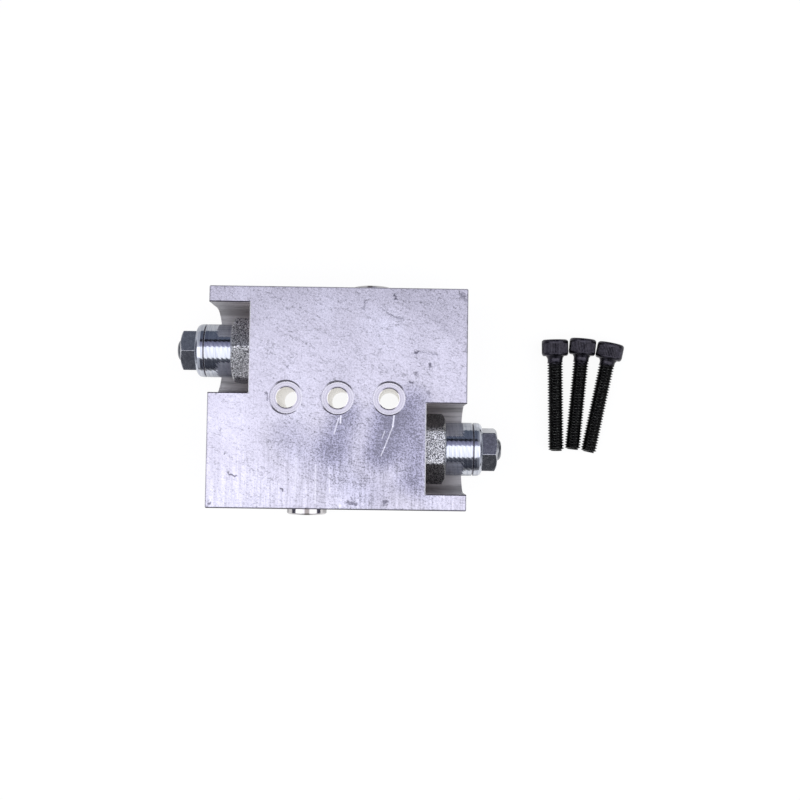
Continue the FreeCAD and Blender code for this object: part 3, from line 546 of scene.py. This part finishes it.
def top_face(tree, mm, y, group):
    """Tone of the face-milled top: its colour, the shade that multiplies it, how strong the painted
    reflection sweeps are in each zone, and the grain. The shade adds up cloud, back edge, the painted
    reflection sweeps, specks, pits, hairlines and strokes."""
    cloud = add(tree, "TexNoise", {"Vector": mm, "Scale": 0.05, "Detail": 3.0})
    colour = add(tree, "ValToRGB", (cloud,), stops=[(0.3, "#C6C3D2"), (0.5, "#CECBDA"),
                                                    (0.72, "#D8D6E6")])
    shade = add(tree, "MapRange", (y, 14.0, 38.0, 1.0, 0.86))
    painted_sweep_zone = 0.6
    # painted reflection: the sweeps darken the face where it would mirror the dark room, and the
    # first lightens the left end
    for at, run, width, amount in PAINTED_REFLECTION_SWEEPS:
        mask = stroke(tree, group, mm, at, run, width)
        shade = add(tree, "Math", (mask, amount, shade), operation="MULTIPLY_ADD")
        painted_sweep_zone = add(tree, "Math", (mask, -1.8 * amount, painted_sweep_zone), operation="MULTIPLY_ADD")

    # specks of 0.5 mm, coarser than the real grain so that they show, more dark than light and
    # strongest in the sweep
    grain = add(tree, "TexNoise", {"Vector": mm, "Scale": 1.8, "Roughness": 0.8})
    speck = add(tree, "Math", (grain, 0.5), operation="SUBTRACT")
    speck = add(tree, "Math", (speck, 0.045, 0.05), operation="SMOOTH_MIN")
    zone = add(tree, "MapRange", (painted_sweep_zone, 0.1, 1.6, 0.28, 2.6))
    speck = add(tree, "Math", (speck, zone), operation="MULTIPLY")
    shade = add(tree, "Math", (speck, 1.3, shade), operation="MULTIPLY_ADD")

    # pits 0.4 mm wide in patches, and hairlines where a slow noise, drawn along X, crosses its middle
    pit = add(tree, "TexNoise", {"Vector": mm, "Scale": 1.5, "Detail": 1.0})
    patch = add(tree, "TexNoise", {"Vector": mm, "Scale": 0.12})
    rare = add(tree, "MapRange", (patch, 0.35, 0.65, 0.78, 0.66))
    past = add(tree, "Math", (pit, rare), operation="SUBTRACT")
    pitted = add(tree, "MapRange", (past, 0.0, 0.07, 0.0, -0.28))
    shade = add(tree, "Math", (shade, pitted), operation="ADD")
    lean = math.radians(18)
    leaning = add(tree, "VectorRotate", {"Vector": mm, "Angle": lean}, rotation_type="Z_AXIS")
    for scale, wide in ((0.12, 0.013), (0.22, 0.018)):
        drawn = (0.5 * scale, 1.4 * scale, scale)
        slow = add(tree, "VectorMath", (leaning, drawn), operation="MULTIPLY")
        slow = add(tree, "TexNoise", {"Vector": slow, "Scale": 1.0, "Detail": 4.0, "Roughness": 0.6})
        off = add(tree, "Math", (slow, 0.5), operation="SUBTRACT")
        off = add(tree, "Math", (off,), operation="ABSOLUTE")
        hair = add(tree, "MapRange", (off, 0.0, wide, 1.0, 0.0))
        broken_up = add(tree, "MapRange", (pit, 0.38, 0.52, 0.0, -0.34))
        hair = add(tree, "Math", (hair, broken_up), operation="MULTIPLY")
        shade = add(tree, "Math", (shade, hair), operation="ADD")

    # tool strokes 0.5 mm wide and 3 mm long down to the right, and upright ones along the front
    lean = math.radians(40)
    leaning = add(tree, "VectorRotate", {"Vector": mm, "Angle": lean}, rotation_type="Z_AXIS")
    drawn = add(tree, "VectorMath", (leaning, (0.3, 2.0, 0.6)), operation="MULTIPLY")
    strokes = add(tree, "TexNoise", {"Vector": drawn, "Scale": 1.0, "Detail": 3.0, "Roughness": 0.6})
    centred = add(tree, "Math", (strokes, 0.5), operation="SUBTRACT")
    shade = add(tree, "Math", (centred, 0.35, shade), operation="MULTIPLY_ADD")
    upright = add(tree, "VectorMath", (mm, (1.3, 0.09, 0.3)), operation="MULTIPLY")
    upright = add(tree, "TexNoise", {"Vector": upright, "Scale": 1.0, "Detail": 3.0})
    front = add(tree, "MapRange", (y, -12.0, -24.0, 0.15, 0.8))
    centred = add(tree, "Math", (upright, 0.5), operation="SUBTRACT")
    shade = add(tree, "Math", (centred, front, shade), operation="MULTIPLY_ADD")
    return colour, shade, painted_sweep_zone, grain


def nicks_and_scratches(tree, mm, group):
    """How dark the nicks are, their outline broken up by noise, and how bright the scratches."""
    broken = add(tree, "TexNoise", {"Vector": mm, "Scale": 1.1}, output="Color")
    broken = add(tree, "VectorMath", (broken, (0.5, 0.5, 0.5)), operation="SUBTRACT")
    broken = add(tree, "VectorMath", (broken, (2.4, 2.4, 0.0), mm), operation="MULTIPLY_ADD")
    totals = []
    for place, strokes in ((broken, NICKS), (mm, SCRATCHES)):
        total = 0.0
        for at, run, width, amount in strokes:
            mask = stroke(tree, group, place, at, run, width)
            total = add(tree, "Math", (mask, amount, total), operation="MULTIPLY_ADD")
        totals.append(total)
    return totals


def pocket_walls(tree, mm, far_x, from_axis):
    """Colour and streaks of the pockets' walls and floor, with painted reflection: lighter to the
    end, and darker in steps away from the cartridge's axis."""
    # painted reflection: lighter toward the pockets' ends
    along = add(tree, "MapRange", (far_x, 31.0, 43.5))
    colour = add(tree, "ValToRGB", (along,), stops=[(0.0, "#EAE2E4"), (0.35, "#DED7D9"),
                                                    (0.7, "#E4DFE1"), (0.95, "#F2EFF1")])
    # streaks along X, 1.5 mm wide with finer ones of 0.3 mm
    streaks = add(tree, "VectorMath", (mm, (0.05, 0.7, 0.7)), operation="MULTIPLY")
    streaks = add(tree, "TexNoise",
                  {"Vector": streaks, "Scale": 1.0, "Detail": 4.0, "Roughness": 0.65})
    banded = add(tree, "ValToRGB", (streaks,), stops=[(0.34, 0.5), (0.5, 0.9), (0.64, 1.0)])
    # painted reflection bands of the round trough: darker in steps away from the cartridge's axis
    depth = add(tree, "MapRange", (from_axis, 8.0, 15.6))
    steps = add(tree, "ValToRGB", (depth,), stops=[(0.1, 0.8), (0.33, 1.0), (0.58, 1.0), (0.68, 0.95),
                                                   (0.77, 0.62), (0.88, 0.56), (0.97, 0.85)])
    for layer in (banded, steps):
        colour = add(tree, "Mix", {0: 1.0, 6: colour, 7: layer}, blend_type="MULTIPLY", **COLOURS)
    return colour, streaks


def hole_marks(tree, x, y, far_x, below):
    """Marks of the mounting holes, from the distance to the nearest hole's axis and the angle round
    it: spotface, its colour, the painted shade on its rim, bore, and the painted shade at the bore's
    mouth. Both painted shades lie in two opposite arcs round the hole."""
    local_x = add(tree, "Math", (x, HOLE_PITCH / 2, -HOLE_PITCH / 2), operation="WRAP")
    reach = add(tree, "CombineXYZ", (local_x, y))
    radius = add(tree, "VectorMath", (reach,), output="Value", operation="LENGTH")
    among = add(tree, "Math", (far_x, 1.5 * HOLE_PITCH), operation="LESS_THAN")
    # two opposite arcs round each hole, where the painted shade of the walls lies
    round_angle = add(tree, "Math", (y, local_x), operation="ARCTAN2")
    twice = add(tree, "Math", (round_angle, 2.0, 0.35), operation="MULTIPLY_ADD")
    lobes = add(tree, "Math", (twice,), operation="COSINE")
    shade_arcs = add(tree, "MapRange", (lobes, 0.35, -0.25))
    at_rim = add(tree, "Math", (radius, SPOTFACE_RADIUS + 0.05, 0.22), operation="COMPARE")
    painted_rim_shade = add(tree, "Math", (at_rim, among), operation="MULTIPLY")
    painted_rim_shade = add(tree, "Math", (painted_rim_shade, shade_arcs), operation="MULTIPLY")
    in_spot = add(tree, "Math", (radius, SPOTFACE_RADIUS + 0.02), operation="LESS_THAN")
    in_spot = add(tree, "Math", (in_spot, among), operation="MULTIPLY")
    in_spot = add(tree, "Math", (in_spot, below), operation="MULTIPLY")
    ring_at = add(tree, "CombineXYZ", (radius,))
    rings = add(tree, "TexNoise", {"Vector": ring_at, "Scale": 1.6, "Detail": 3.0})
    spot_colour = add(tree, "ValToRGB", (rings,), stops=[(0.32, "#B0ACB9"), (0.5, "#D0CDD9"),
                                                         (0.65, "#ECEAF3")])
    in_bore = add(tree, "Math", (radius, BORE_RADIUS + 0.12), operation="LESS_THAN")
    bore = add(tree, "Math", (in_bore, in_spot), operation="MULTIPLY")
    at_mouth = add(tree, "Math", (radius, BORE_RADIUS + 0.2, 0.17), operation="COMPARE")
    mouth = add(tree, "Math", (at_mouth, in_spot), operation="MULTIPLY")
    mouth = add(tree, "Math", (mouth, shade_arcs), operation="MULTIPLY")
    return in_spot, spot_colour, painted_rim_shade, bore, mouth


def port_thread(tree, y, z, far_x, outward):
    """Flanks of the work ports' thread in the far end faces: a helix of 1.337 mm pitch on its
    bore."""
    port_y = add(tree, "Math", (outward, -VALVE_Y, y), operation="MULTIPLY_ADD")
    port_z = add(tree, "Math", (z, VALVE_Z), operation="SUBTRACT")
    port_at = add(tree, "CombineXYZ", (port_y, port_z))
    port_radius = add(tree, "VectorMath", (port_at,), output="Value", operation="LENGTH")
    in_port = add(tree, "Math", (port_radius, PORT_RADIUS, 0.3), operation="COMPARE")
    past_wall = add(tree, "Math", (far_x, POCKET_WALL), operation="GREATER_THAN")
    in_port = add(tree, "Math", (in_port, past_wall), operation="MULTIPLY")
    port_angle = add(tree, "Math", (port_z, port_y), operation="ARCTAN2")
    port_turn = add(tree, "Math", (port_angle, TAU), operation="DIVIDE")
    helix = add(tree, "Math", (far_x, 1 / PORT_PITCH, port_turn), operation="MULTIPLY_ADD")
    flank = add(tree, "Math", (helix, 0.5), operation="PINGPONG")
    return add(tree, "Math", (flank, in_port), operation="MULTIPLY")


def milled_aluminium(tree, mm):
    """Bare aluminium plate, face-milled, deburred by hand and handled since. The eye gets a cloudy
    lavender-grey face, darker to the back and in a bluish sweep of painted dark reflection, with dark
    specks, pits and hairlines, faint tool strokes, dark nicks, bright scratches and a painted shade
    line on every edge. Spotfaces keep the cutter's rings, with painted shade in arcs on their rims
    and the bores' mouths, the bores are painted pale and warm as if lit from below, and the pockets'
    walls are streaked along X, with painted reflection that lightens them to the ends and darkens
    them inward, and a painted highlight on their end edge."""
    x, y, z = add(tree, "SeparateXYZ", (mm,)).node.outputs
    far_x = add(tree, "Math", (x,), operation="ABSOLUTE")
    far_y = add(tree, "Math", (y,), operation="ABSOLUTE")
    group = stroke_group()
    colour, shade, painted_sweep_zone, grain = top_face(tree, mm, y, group)
    dark, bright = nicks_and_scratches(tree, mm, group)

    # painted shade line 0.4 mm wide round the top and bottom faces' outer edges, strongest along the
    # front
    past_end = add(tree, "Math", (far_x, BLOCK_HALF_LENGTH), operation="SUBTRACT")
    past_side = add(tree, "Math", (far_y, BLOCK_HALF_WIDTH), operation="SUBTRACT")
    outside = add(tree, "Math", (past_end, past_side), operation="MAXIMUM")
    rim = add(tree, "MapRange", (outside, -0.6, -0.25))
    strength = add(tree, "MapRange", (y, -37.3, -37.8, 0.32, 0.9))
    level = add(tree, "Math", (z, VALVE_Z), operation="SUBTRACT")
    level = add(tree, "Math", (level,), operation="ABSOLUTE")
    near_face = add(tree, "MapRange", (level, VALVE_Z - 0.9, VALVE_Z - 0.4))

    # pockets: their walls and floor, a painted shade line on their long edges and a painted highlight
    # on the end edge
    below = add(tree, "MapRange", (z, 31.7, 31.5))
    outward = add(tree, "Math", (x,), operation="SIGN")
    valve_y = add(tree, "Math", (outward, VALVE_Y, y), operation="MULTIPLY_ADD")
    from_axis = add(tree, "Math", (valve_y,), operation="ABSOLUTE")
    in_width = add(tree, "Math", (from_axis, POCKET_HALF_WIDTH + 0.1), operation="LESS_THAN")
    in_length = add(tree, "Math", (far_x, POCKET_WALL - 0.1), operation="GREATER_THAN")
    pocket = add(tree, "Math", (in_width, in_length), operation="MULTIPLY")
    pocket = add(tree, "Math", (pocket, below), operation="MULTIPLY")
    at_side = add(tree, "Math", (from_axis, POCKET_HALF_WIDTH, 0.32), operation="COMPARE")
    at_end = add(tree, "Math", (far_x, POCKET_WALL, 0.3), operation="COMPARE")
    edges = []
    for edge, share in ((rim, strength), (at_side, in_length), (at_end, in_width)):
        edge = add(tree, "Math", (edge, share), operation="MULTIPLY")
        edges.append(add(tree, "Math", (edge, near_face), operation="MULTIPLY"))
    lines, painted_side_shade, painted_end_highlight = edges
    pocket_colour, streaks = pocket_walls(tree, mm, far_x, from_axis)
    in_spot, spot_colour, painted_rim_shade, bore, mouth = hole_marks(tree, x, y, far_x, below)
    flank = port_thread(tree, y, z, far_x, outward)

    # the colours laid over each other
    shade = add(tree, "Math", (shade, 0.3), operation="MAXIMUM")
    colour = add(tree, "VectorMath", {0: colour, "Scale": shade}, operation="SCALE")
    # painted reflection: a bluish tint where the painted sweeps are strong
    painted_blue_reflection = add(tree, "MapRange", (painted_sweep_zone, 0.7, 1.4))
    colour = add(tree, "Mix", {0: painted_blue_reflection, 6: colour, 7: (0.97, 0.98, 1.12, 1)},
                 blend_type="MULTIPLY", **COLOURS)
    # the painted shade lines of the pockets' long edges, the spotface rims and the bores' mouths join
    # the outer edges' one; the pockets' end edge gets a painted highlight
    for edge in (painted_side_shade, painted_rim_shade, mouth):
        lines = add(tree, "Math", (lines, edge), operation="MAXIMUM")
    # the bores' pale warm colour is painted light, as if from the floor below
    for share, layer in ((dark, linear("#4E4A5C")), (bright, linear("#F6F5FF")),
                         (in_spot, spot_colour), (bore, linear("#F3EFE8")), (pocket, pocket_colour),
                         (lines, linear("#3E3A46")), (painted_end_highlight, linear("#FAF9FF"))):
        colour = add(tree, "Mix", {0: share, 6: colour, 7: layer}, **COLOURS)

    # bump, roughness, and the plain share of the surface: that takes the light of the white room from
    # every side, and is larger in the pockets
    relief = add(tree, "Mix", {0: pocket, 2: grain, 3: streaks})
    relief = add(tree, "Math", (dark, -3.0, relief), operation="MULTIPLY_ADD")
    relief = add(tree, "Math", (flank, 60.0, relief), operation="MULTIPLY_ADD")
    dull = add(tree, "MapRange", (grain, 0.3, 0.7, 0.32, 0.24))
    dull = add(tree, "Mix", {0: pocket, 2: dull, 3: 0.42})
    metallic = add(tree, "Mix", {0: pocket, 2: 0.6, 3: 0.05})
    metallic = add(tree, "Mix", {0: bore, 2: metallic, 3: 0.9})
    finish(tree, colour, dull, relief, 0.02, metallic=metallic)


def blasted_steel(tree, mm):
    """Steel hexagon, grit-blasted and thinly zinc-plated: facets that sparkle light and dark. They
    are drawn 0.4 mm across, coarser than the real grit, so that they show. The right one's steep
    facets are darkened to brown-black by painted shade."""
    pits = add(tree, "TexNoise", {"Vector": mm, "Scale": 2.8, "Detail": 1.0})
    colour = add(tree, "ValToRGB", (pits,), stops=[(0.37, "#4E4E52"), (0.5, "#9A9BA0"),
                                                   (0.6, "#F4F4F8")])
    parts = add(tree, "SeparateXYZ", (mm,)).node.outputs
    # painted shade: the right hexagon's steep facets, far from its axis across Y, darkened
    # brown-black
    across = add(tree, "Math", (parts["Y"], VALVE_Y - 0.4), operation="ADD")
    across = add(tree, "Math", (across,), operation="ABSOLUTE")
    steep = add(tree, "MapRange", (across, 5.6, 5.9, 0.0, 0.9))
    right = add(tree, "Math", (parts["X"], 0.0), operation="GREATER_THAN")
    painted_facet_shade = add(tree, "Math", (steep, right), operation="MULTIPLY")
    colour = add(tree, "Mix", {0: painted_facet_shade, 6: colour, 7: linear("#A6A4A0")}, blend_type="MULTIPLY",
                 **COLOURS)
    finish(tree, colour, 0.36, pits, 0.15, metallic=0.9)


def zinc_plated_steel(tree, mm):
    """Turned steel with bright zinc plate: a near-mirror that keeps fine turning lines 0.3 mm apart
    along X, a little darker and lighter at the tool's 1.6 mm feed, with painted shade in the groove."""
    rings = turning_lines(tree, mm, (3.2, 0.06, 0.06))
    parts = add(tree, "SeparateXYZ", (mm,)).node.outputs
    feed = add(tree, "Math", (parts["X"], TAU / CHATTER_PITCH, parts["Y"]), operation="MULTIPLY_ADD")
    feed = add(tree, "Math", (feed,), operation="COSINE")
    tone = add(tree, "Math", (feed, 0.08, rings), operation="MULTIPLY_ADD")
    colour = add(tree, "ValToRGB", (tone,), stops=[(0.25, "#B8BCCA"), (0.5, "#CDD1DB"),
                                                   (0.75, "#DADDE5")])
    far_x = add(tree, "Math", (parts["X"],), operation="ABSOLUTE")
    # painted shade in the groove
    groove = add(tree, "Math", (far_x, POCKET_WALL + GROOVE_HEIGHT, 0.2), operation="COMPARE")
    colour = add(tree, "Mix", {0: groove, 6: colour, 7: linear("#66626A")}, **COLOURS)
    dull = add(tree, "MapRange", (rings, 0.3, 0.7, 0.1, 0.16))
    finish(tree, colour, dull, rings, 0.004)


def dark_zinc_steel(tree, mm):
    """Cold-headed nut with a dull dark zinc finish: smooth blue-grey faces, softly mottled."""
    cloud = add(tree, "TexNoise", {"Vector": mm, "Scale": 0.9, "Detail": 4.0})
    dull = add(tree, "MapRange", (cloud, 0.3, 0.7, 0.22, 0.28))
    one_noise(tree, cloud, "#AEB0B6", "#C4C6CC", dull, 0.02)


def adjuster_steel(tree, mm):
    """Turned and plated adjusting screw, a little darker than the bonnet, with its rings along X."""
    one_noise(tree, turning_lines(tree, mm, (3.0, 0.1, 0.1)), "#787A80", "#8E9096", 0.2, 0.004)


def plug_steel(tree, mm):
    """Turned plug with bright zinc plate: the collar shines, its turning lines run round the Y axis,
    and a painted dark reflection, brown and about 1.6 mm wide, lies along its top."""
    rings = turning_lines(tree, mm, (0.08, 3.2, 0.08))
    colour = add(tree, "ValToRGB", (rings,), stops=[(0.3, "#C8C5C6"), (0.7, "#E8E5E6")])
    parts = add(tree, "SeparateXYZ", (mm,)).node.outputs
    # painted reflection: a dark brown band along the collar's top
    from_top = add(tree, "Math", (parts["X"],), operation="ABSOLUTE")
    from_top = add(tree, "Math", (from_top, PLUG_X - 0.6), operation="SUBTRACT")
    from_top = add(tree, "Math", (from_top,), operation="ABSOLUTE")
    painted_reflection = add(tree, "MapRange", (from_top, 0.6, 1.1, 0.75, 0.0))
    upper = add(tree, "MapRange", (parts["Z"], 20.6, 21.8))
    painted_reflection = add(tree, "Math", (painted_reflection, upper), operation="MULTIPLY")
    colour = add(tree, "Mix", {0: painted_reflection, 6: colour, 7: linear("#6E645E")}, **COLOURS)
    finish(tree, colour, 0.12, rings, 0.004)


def black_oxide_steel(tree, mm):
    """Alloy steel screw with oiled black oxide: dark violet-grey heads with a soft sheen, blacker
    oily threads with pale flecks that are painted glints, drawn 0.4 mm across so that they
    show."""
    cloud = add(tree, "TexNoise", {"Vector": mm, "Scale": 1.2, "Detail": 4.0})
    heads = add(tree, "ValToRGB", (cloud,), stops=[(0.3, "#2E2C33"), (0.5, "#3B3940"),
                                                   (0.7, "#494750")])
    # painted glints: pale flecks on the threads
    painted_glint = add(tree, "TexNoise", {"Vector": mm, "Scale": 2.4, "Detail": 1.0})
    threads = add(tree, "ValToRGB", (painted_glint,), stops=[(0.35, "#1E1D1E"), (0.58, "#313131"),
                                                     (0.7, "#565856")])
    y = add(tree, "SeparateXYZ", (mm,), output="Y")
    up = add(tree, "MapRange", (y, 14.0, 15.2))
    colour = add(tree, "Mix", {0: up, 6: threads, 7: heads}, **COLOURS)
    dull = add(tree, "MapRange", (cloud, 0.3, 0.7, 0.26, 0.38))
    finish(tree, colour, dull, cloud, 0.02)


def hardened_steel(tree, mm):
    """Hardened steel, ground all over: bright, with fine grinding lines round the X axis."""
    one_noise(tree, turning_lines(tree, mm, (5.0, 0.1, 0.1)), "#BFC1C8", "#D3D5DA", 0.14, 0.003)


def sleeve_steel(tree, mm):
    """Turned steel sleeve, left as it comes from the lathe: grey with rings 0.3 mm apart along X."""
    one_noise(tree, turning_lines(tree, mm, (3.2, 0.08, 0.08)), "#AEB0B4", "#C6C8CB", 0.22, 0.006)


def spring_steel(tree, mm):
    """Cold-drawn spring wire: dark grey with a faint mottle and a drawn sheen."""
    cloud = add(tree, "TexNoise", {"Vector": mm, "Scale": 1.5, "Detail": 3.0})
    one_noise(tree, cloud, "#7F8289", "#989BA2", 0.3, 0.01)


def nitrile_rubber(tree, mm):
    """Moulded nitrile seal: near-black, dull, with a fine moulded grain."""
    grain = add(tree, "TexNoise", {"Vector": mm, "Scale": 3.0})
    one_noise(tree, grain, "#18181A", "#242427", 0.5, 0.01, metallic=0.0, IOR=1.52)


def ptfe(tree, mm):
    """Skived PTFE backup ring: waxy off-white with faint shaving lines."""
    grain = add(tree, "TexNoise", {"Vector": mm, "Scale": 1.8, "Detail": 3.0})
    one_noise(tree, grain, "#E4E2DB", "#F1EFE9", 0.35, 0.01, metallic=0.0, IOR=1.35)


materials = {maker.__name__: material(maker) for maker in (
    milled_aluminium, blasted_steel, zinc_plated_steel, dark_zinc_steel, adjuster_steel, plug_steel,
    black_oxide_steel, hardened_steel, sleeve_steel, spring_steel, nitrile_rubber, ptfe)}


# Putting the pieces in their places

def dress(piece, slot, body, *replaced):
    """A new piece gets its finish and body, and stands for its CAD nodes."""
    piece.data.materials.append(materials[slot])
    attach(piece, body)
    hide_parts(*replaced)


def springs(side):
    """A cartridge's springs: the main spring in two halves, its foot and its top, and the check
    spring, each a coil along its share of the CAD spring. The table gives each piece a joint, the end
    it would be pressed toward (the main spring's middle, the check spring's outer end) and 1 less its
    stroke's share of its length, but nothing here uses them."""
    main, check = f"main_spring_{side}", f"check_spring_{side}"
    main_ends, check_ends = ([corner[0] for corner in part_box(node)] for node in (main, check))
    main_length, check_length = main_ends[1] - main_ends[0], check_ends[1] - check_ends[0]
    middle = sum(main_ends) / 2
    outer_end = check_ends[SIGN[side] > 0]
    for name, node, spring, first, last, joint, fixed_x, keep in (
            ("setting_spring_foot", main, MAIN_SPRING, 0.0, 0.5, "piston_slide", middle,
             1 - 2 * PISTON_STROKE * MM / main_length),
            ("setting_spring_top", main, MAIN_SPRING, 0.5, 1.0, "spring_seat_slide", middle,
             1 - 2 * SEAT_STROKE * MM / main_length),
            ("disc_spring", check, CHECK_SPRING, 0.0, 1.0, "check_disc_slide", outer_end,
             1 - CHECK_STROKE * MM / check_length)):
        piece = coil(f"{name}_{side}", side, node, spring, first, last)
        dress(piece, "spring_steel", "block", node)
        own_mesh(piece)


for part in frame["record"]["subparts"]:
    for holder in frame["nodes"][part["node"]].material_slots:
        holder.material = materials[part["material_slot"]]

for side in SIGN:
    dress(cartridge_body(side), "blasted_steel", "block", f"cartridge_body_{side}")
    dress(bonnet(side), "zinc_plated_steel", "block", f"bonnet_{side}")
    dress(locknut(side), "dark_zinc_steel", f"locknut_{side}", f"locknut_{side}")
    dress(adjusting_screw(side), "adjuster_steel", f"adjusting_screw_{side}",
          f"adjusting_screw_{side}")
    springs(side)
dress(plug("front_pilot_plug", -1, COLLAR["front"]), "plug_steel", "block", "front_plug")
dress(plug("back_pilot_plug", 1, COLLAR["back"]), "plug_steel", "block", "back_plug")
for number in range(1, len(SCREWS) + 1):
    dress(mounting_screw(number), "black_oxide_steel", "block", "mounting_screws")


# Floor, studio and camera

def floor():
    """Wide pale floor just below the mounting face: lit enough to keep soft shadows, and white behind
    the object. In its reflections it glows with painted shadow and light."""
    mesh = bpy.data.meshes.new("studio_floor")
    half, z = FLOOR_HALF, FLOOR_Z
    mesh.from_pydata([(-half, -half, z), (half, -half, z), (half, half, z), (-half, half, z)], [],
                     [(0, 1, 2, 3)])
    made = bpy.data.materials.new("white_paper")
    tree = empty_tree(made)
    paper = add(tree, "BsdfDiffuse", {"Color": linear("#F2F2F2")})
    seen, mirrored, through = (add(tree, "LightPath", output=f"Is {ray} Ray")
                               for ray in ("Camera", "Glossy", "Transmission"))
    clear = add(tree, "Math", (seen, through), operation="MAXIMUM")
    any_of = add(tree, "Math", (clear, mirrored), operation="MAXIMUM")
    share = add(tree, "Math", (any_of, 0.88), operation="MULTIPLY")
    # gloss sees a glow with painted shadow and light: the block's painted shadow on the paper,
    # brighter 12 mm past its outline, duller to the back, dark past the paper's front end, and bright
    # again straight under the mounting holes as painted light for the bores
    place = add(tree, "TexCoord", output="Object")
    outline = (BLOCK_HALF_LENGTH * MM, BLOCK_HALF_WIDTH * MM, 1.0)
    spread = add(tree, "VectorMath", (place,), operation="ABSOLUTE")
    spread = add(tree, "VectorMath", (spread, outline), operation="SUBTRACT")
    spread = add(tree, "VectorMath", (spread, (0, 0, 0)), operation="MAXIMUM")
    away = add(tree, "VectorMath", (spread,), output="Value", operation="LENGTH")
    painted_shadow_and_light = add(tree, "MapRange", (away, 0.0, 0.012, 0.45, 0.95))
    x, y = (add(tree, "SeparateXYZ", (place,), output=axis) for axis in "XY")
    back = add(tree, "MapRange", (y, 0.02, 0.05, 1.0, 0.65))
    painted_shadow_and_light = add(tree, "Math", (painted_shadow_and_light, back), operation="MULTIPLY")
    front = add(tree, "MapRange", (y, -0.13, -0.09, 0.12, 1.0))
    painted_shadow_and_light = add(tree, "Math", (painted_shadow_and_light, front), operation="MULTIPLY")
    under_x = add(tree, "Math", (x, 0.0, 0.03), operation="COMPARE")
    under = add(tree, "Math", (y, 0.0, 0.006), operation="COMPARE")
    under = add(tree, "Math", (under, under_x), operation="MULTIPLY")
    painted_shadow_and_light = add(tree, "Math", (painted_shadow_and_light, under), operation="MAXIMUM")
    strength = add(tree, "Mix", {0: clear, 2: painted_shadow_and_light, 3: 1.05})
    glow = add(tree, "Emission", {"Color": (1, 1, 1, 1), "Strength": strength})
    add(tree, "OutputMaterial", {"Surface": add(tree, "MixShader", (share, paper, glow))})
    mesh.materials.append(made)
    in_scene("studio_floor", mesh)


def camera():
    """Camera above the block, at the photograph's angle."""
    turn = Euler(CAMERA_TURN, "XYZ").to_matrix().transposed()
    data = bpy.data.cameras.new("camera")
    data.lens = CAMERA_LENS
    data.sensor_width = 36
    data.clip_start = 0.01
    made = in_scene("camera", data)
    place = turn @ Vector(CAMERA_PLACE) + Vector((0, 0, BLOCK_HEIGHT))
    made.matrix_world = turn.to_4x4()
    made.location = place * MM
    bpy.context.scene.camera = made


def softbox():
    """One long softbox overhead, its length along the cartridges, set toward the front."""
    data = bpy.data.lights.new("softbox", "AREA")
    data.shape = "RECTANGLE"
    data.size, data.size_y = SOFTBOX_SIZE
    data.energy = SOFTBOX_POWER
    in_scene("softbox", data).location = SOFTBOX_PLACE


def studio():
    """The room round the object: white to the camera, and otherwise bands of grey that depend on the
    angle from straight up about X, as flags and panels beside a long softbox give. Toward the ends of
    the cartridges they give way to an even light grey, and that to a darker wall low down."""
    world = bpy.data.worlds.new("studio")
    bpy.context.scene.world = world
    tree = empty_tree(world)
    direction = add(tree, "TexCoord", output="Generated")
    x, y, z = (add(tree, "SeparateXYZ", (direction,), output=axis) for axis in "XYZ")
    tilt = add(tree, "Math", (y, z), operation="ARCTAN2")
    share = add(tree, "MapRange", (tilt, math.radians(-110), math.radians(110)))
    bands = [(-110, "#C8C8CC"), (-102, "#F0F0F2"), (-97, "#42444C"), (-82, "#3C3E46"),
             (-66, "#4C4F58"), (-50, "#484A52"), (-36, "#74767E"), (14, "#B4B4CC"),
             (24, "#9696B0"), (33, "#8A8AA2"), (36, "#08080A"), (43, "#040406"), (47, "#666C7C"),
             (92, "#5E6672"), (103, "#E6E8EA"), (110, "#F0F0F0")]
    stops = [((angle + 110) / 220, colour) for angle, colour in bands]
    banded = add(tree, "ValToRGB", (share,), stops=stops)
    endways = add(tree, "Math", (x,), operation="ABSOLUTE")
    ends = add(tree, "ValToRGB", (endways,), stops=[(0.26, 0.0), (0.46, 1.0)])
    panels = add(tree, "ValToRGB", (endways,), stops=[(0.86, "#D2D4DA"), (0.91, "#50505E")])
    mixed = add(tree, "Mix", {0: ends, 6: banded, 7: panels}, **COLOURS)
    seen = add(tree, "LightPath", output="Is Camera Ray")
    shown = add(tree, "Mix", {0: seen, 6: mixed, 7: (1, 1, 1, 1)}, **COLOURS)
    surface = add(tree, "Background", {"Color": shown, "Strength": 1.0})
    add(tree, "OutputWorld", {"Surface": surface})


bpy.context.scene.view_settings.view_transform = "Standard"
floor()
camera()
softbox()
studio()
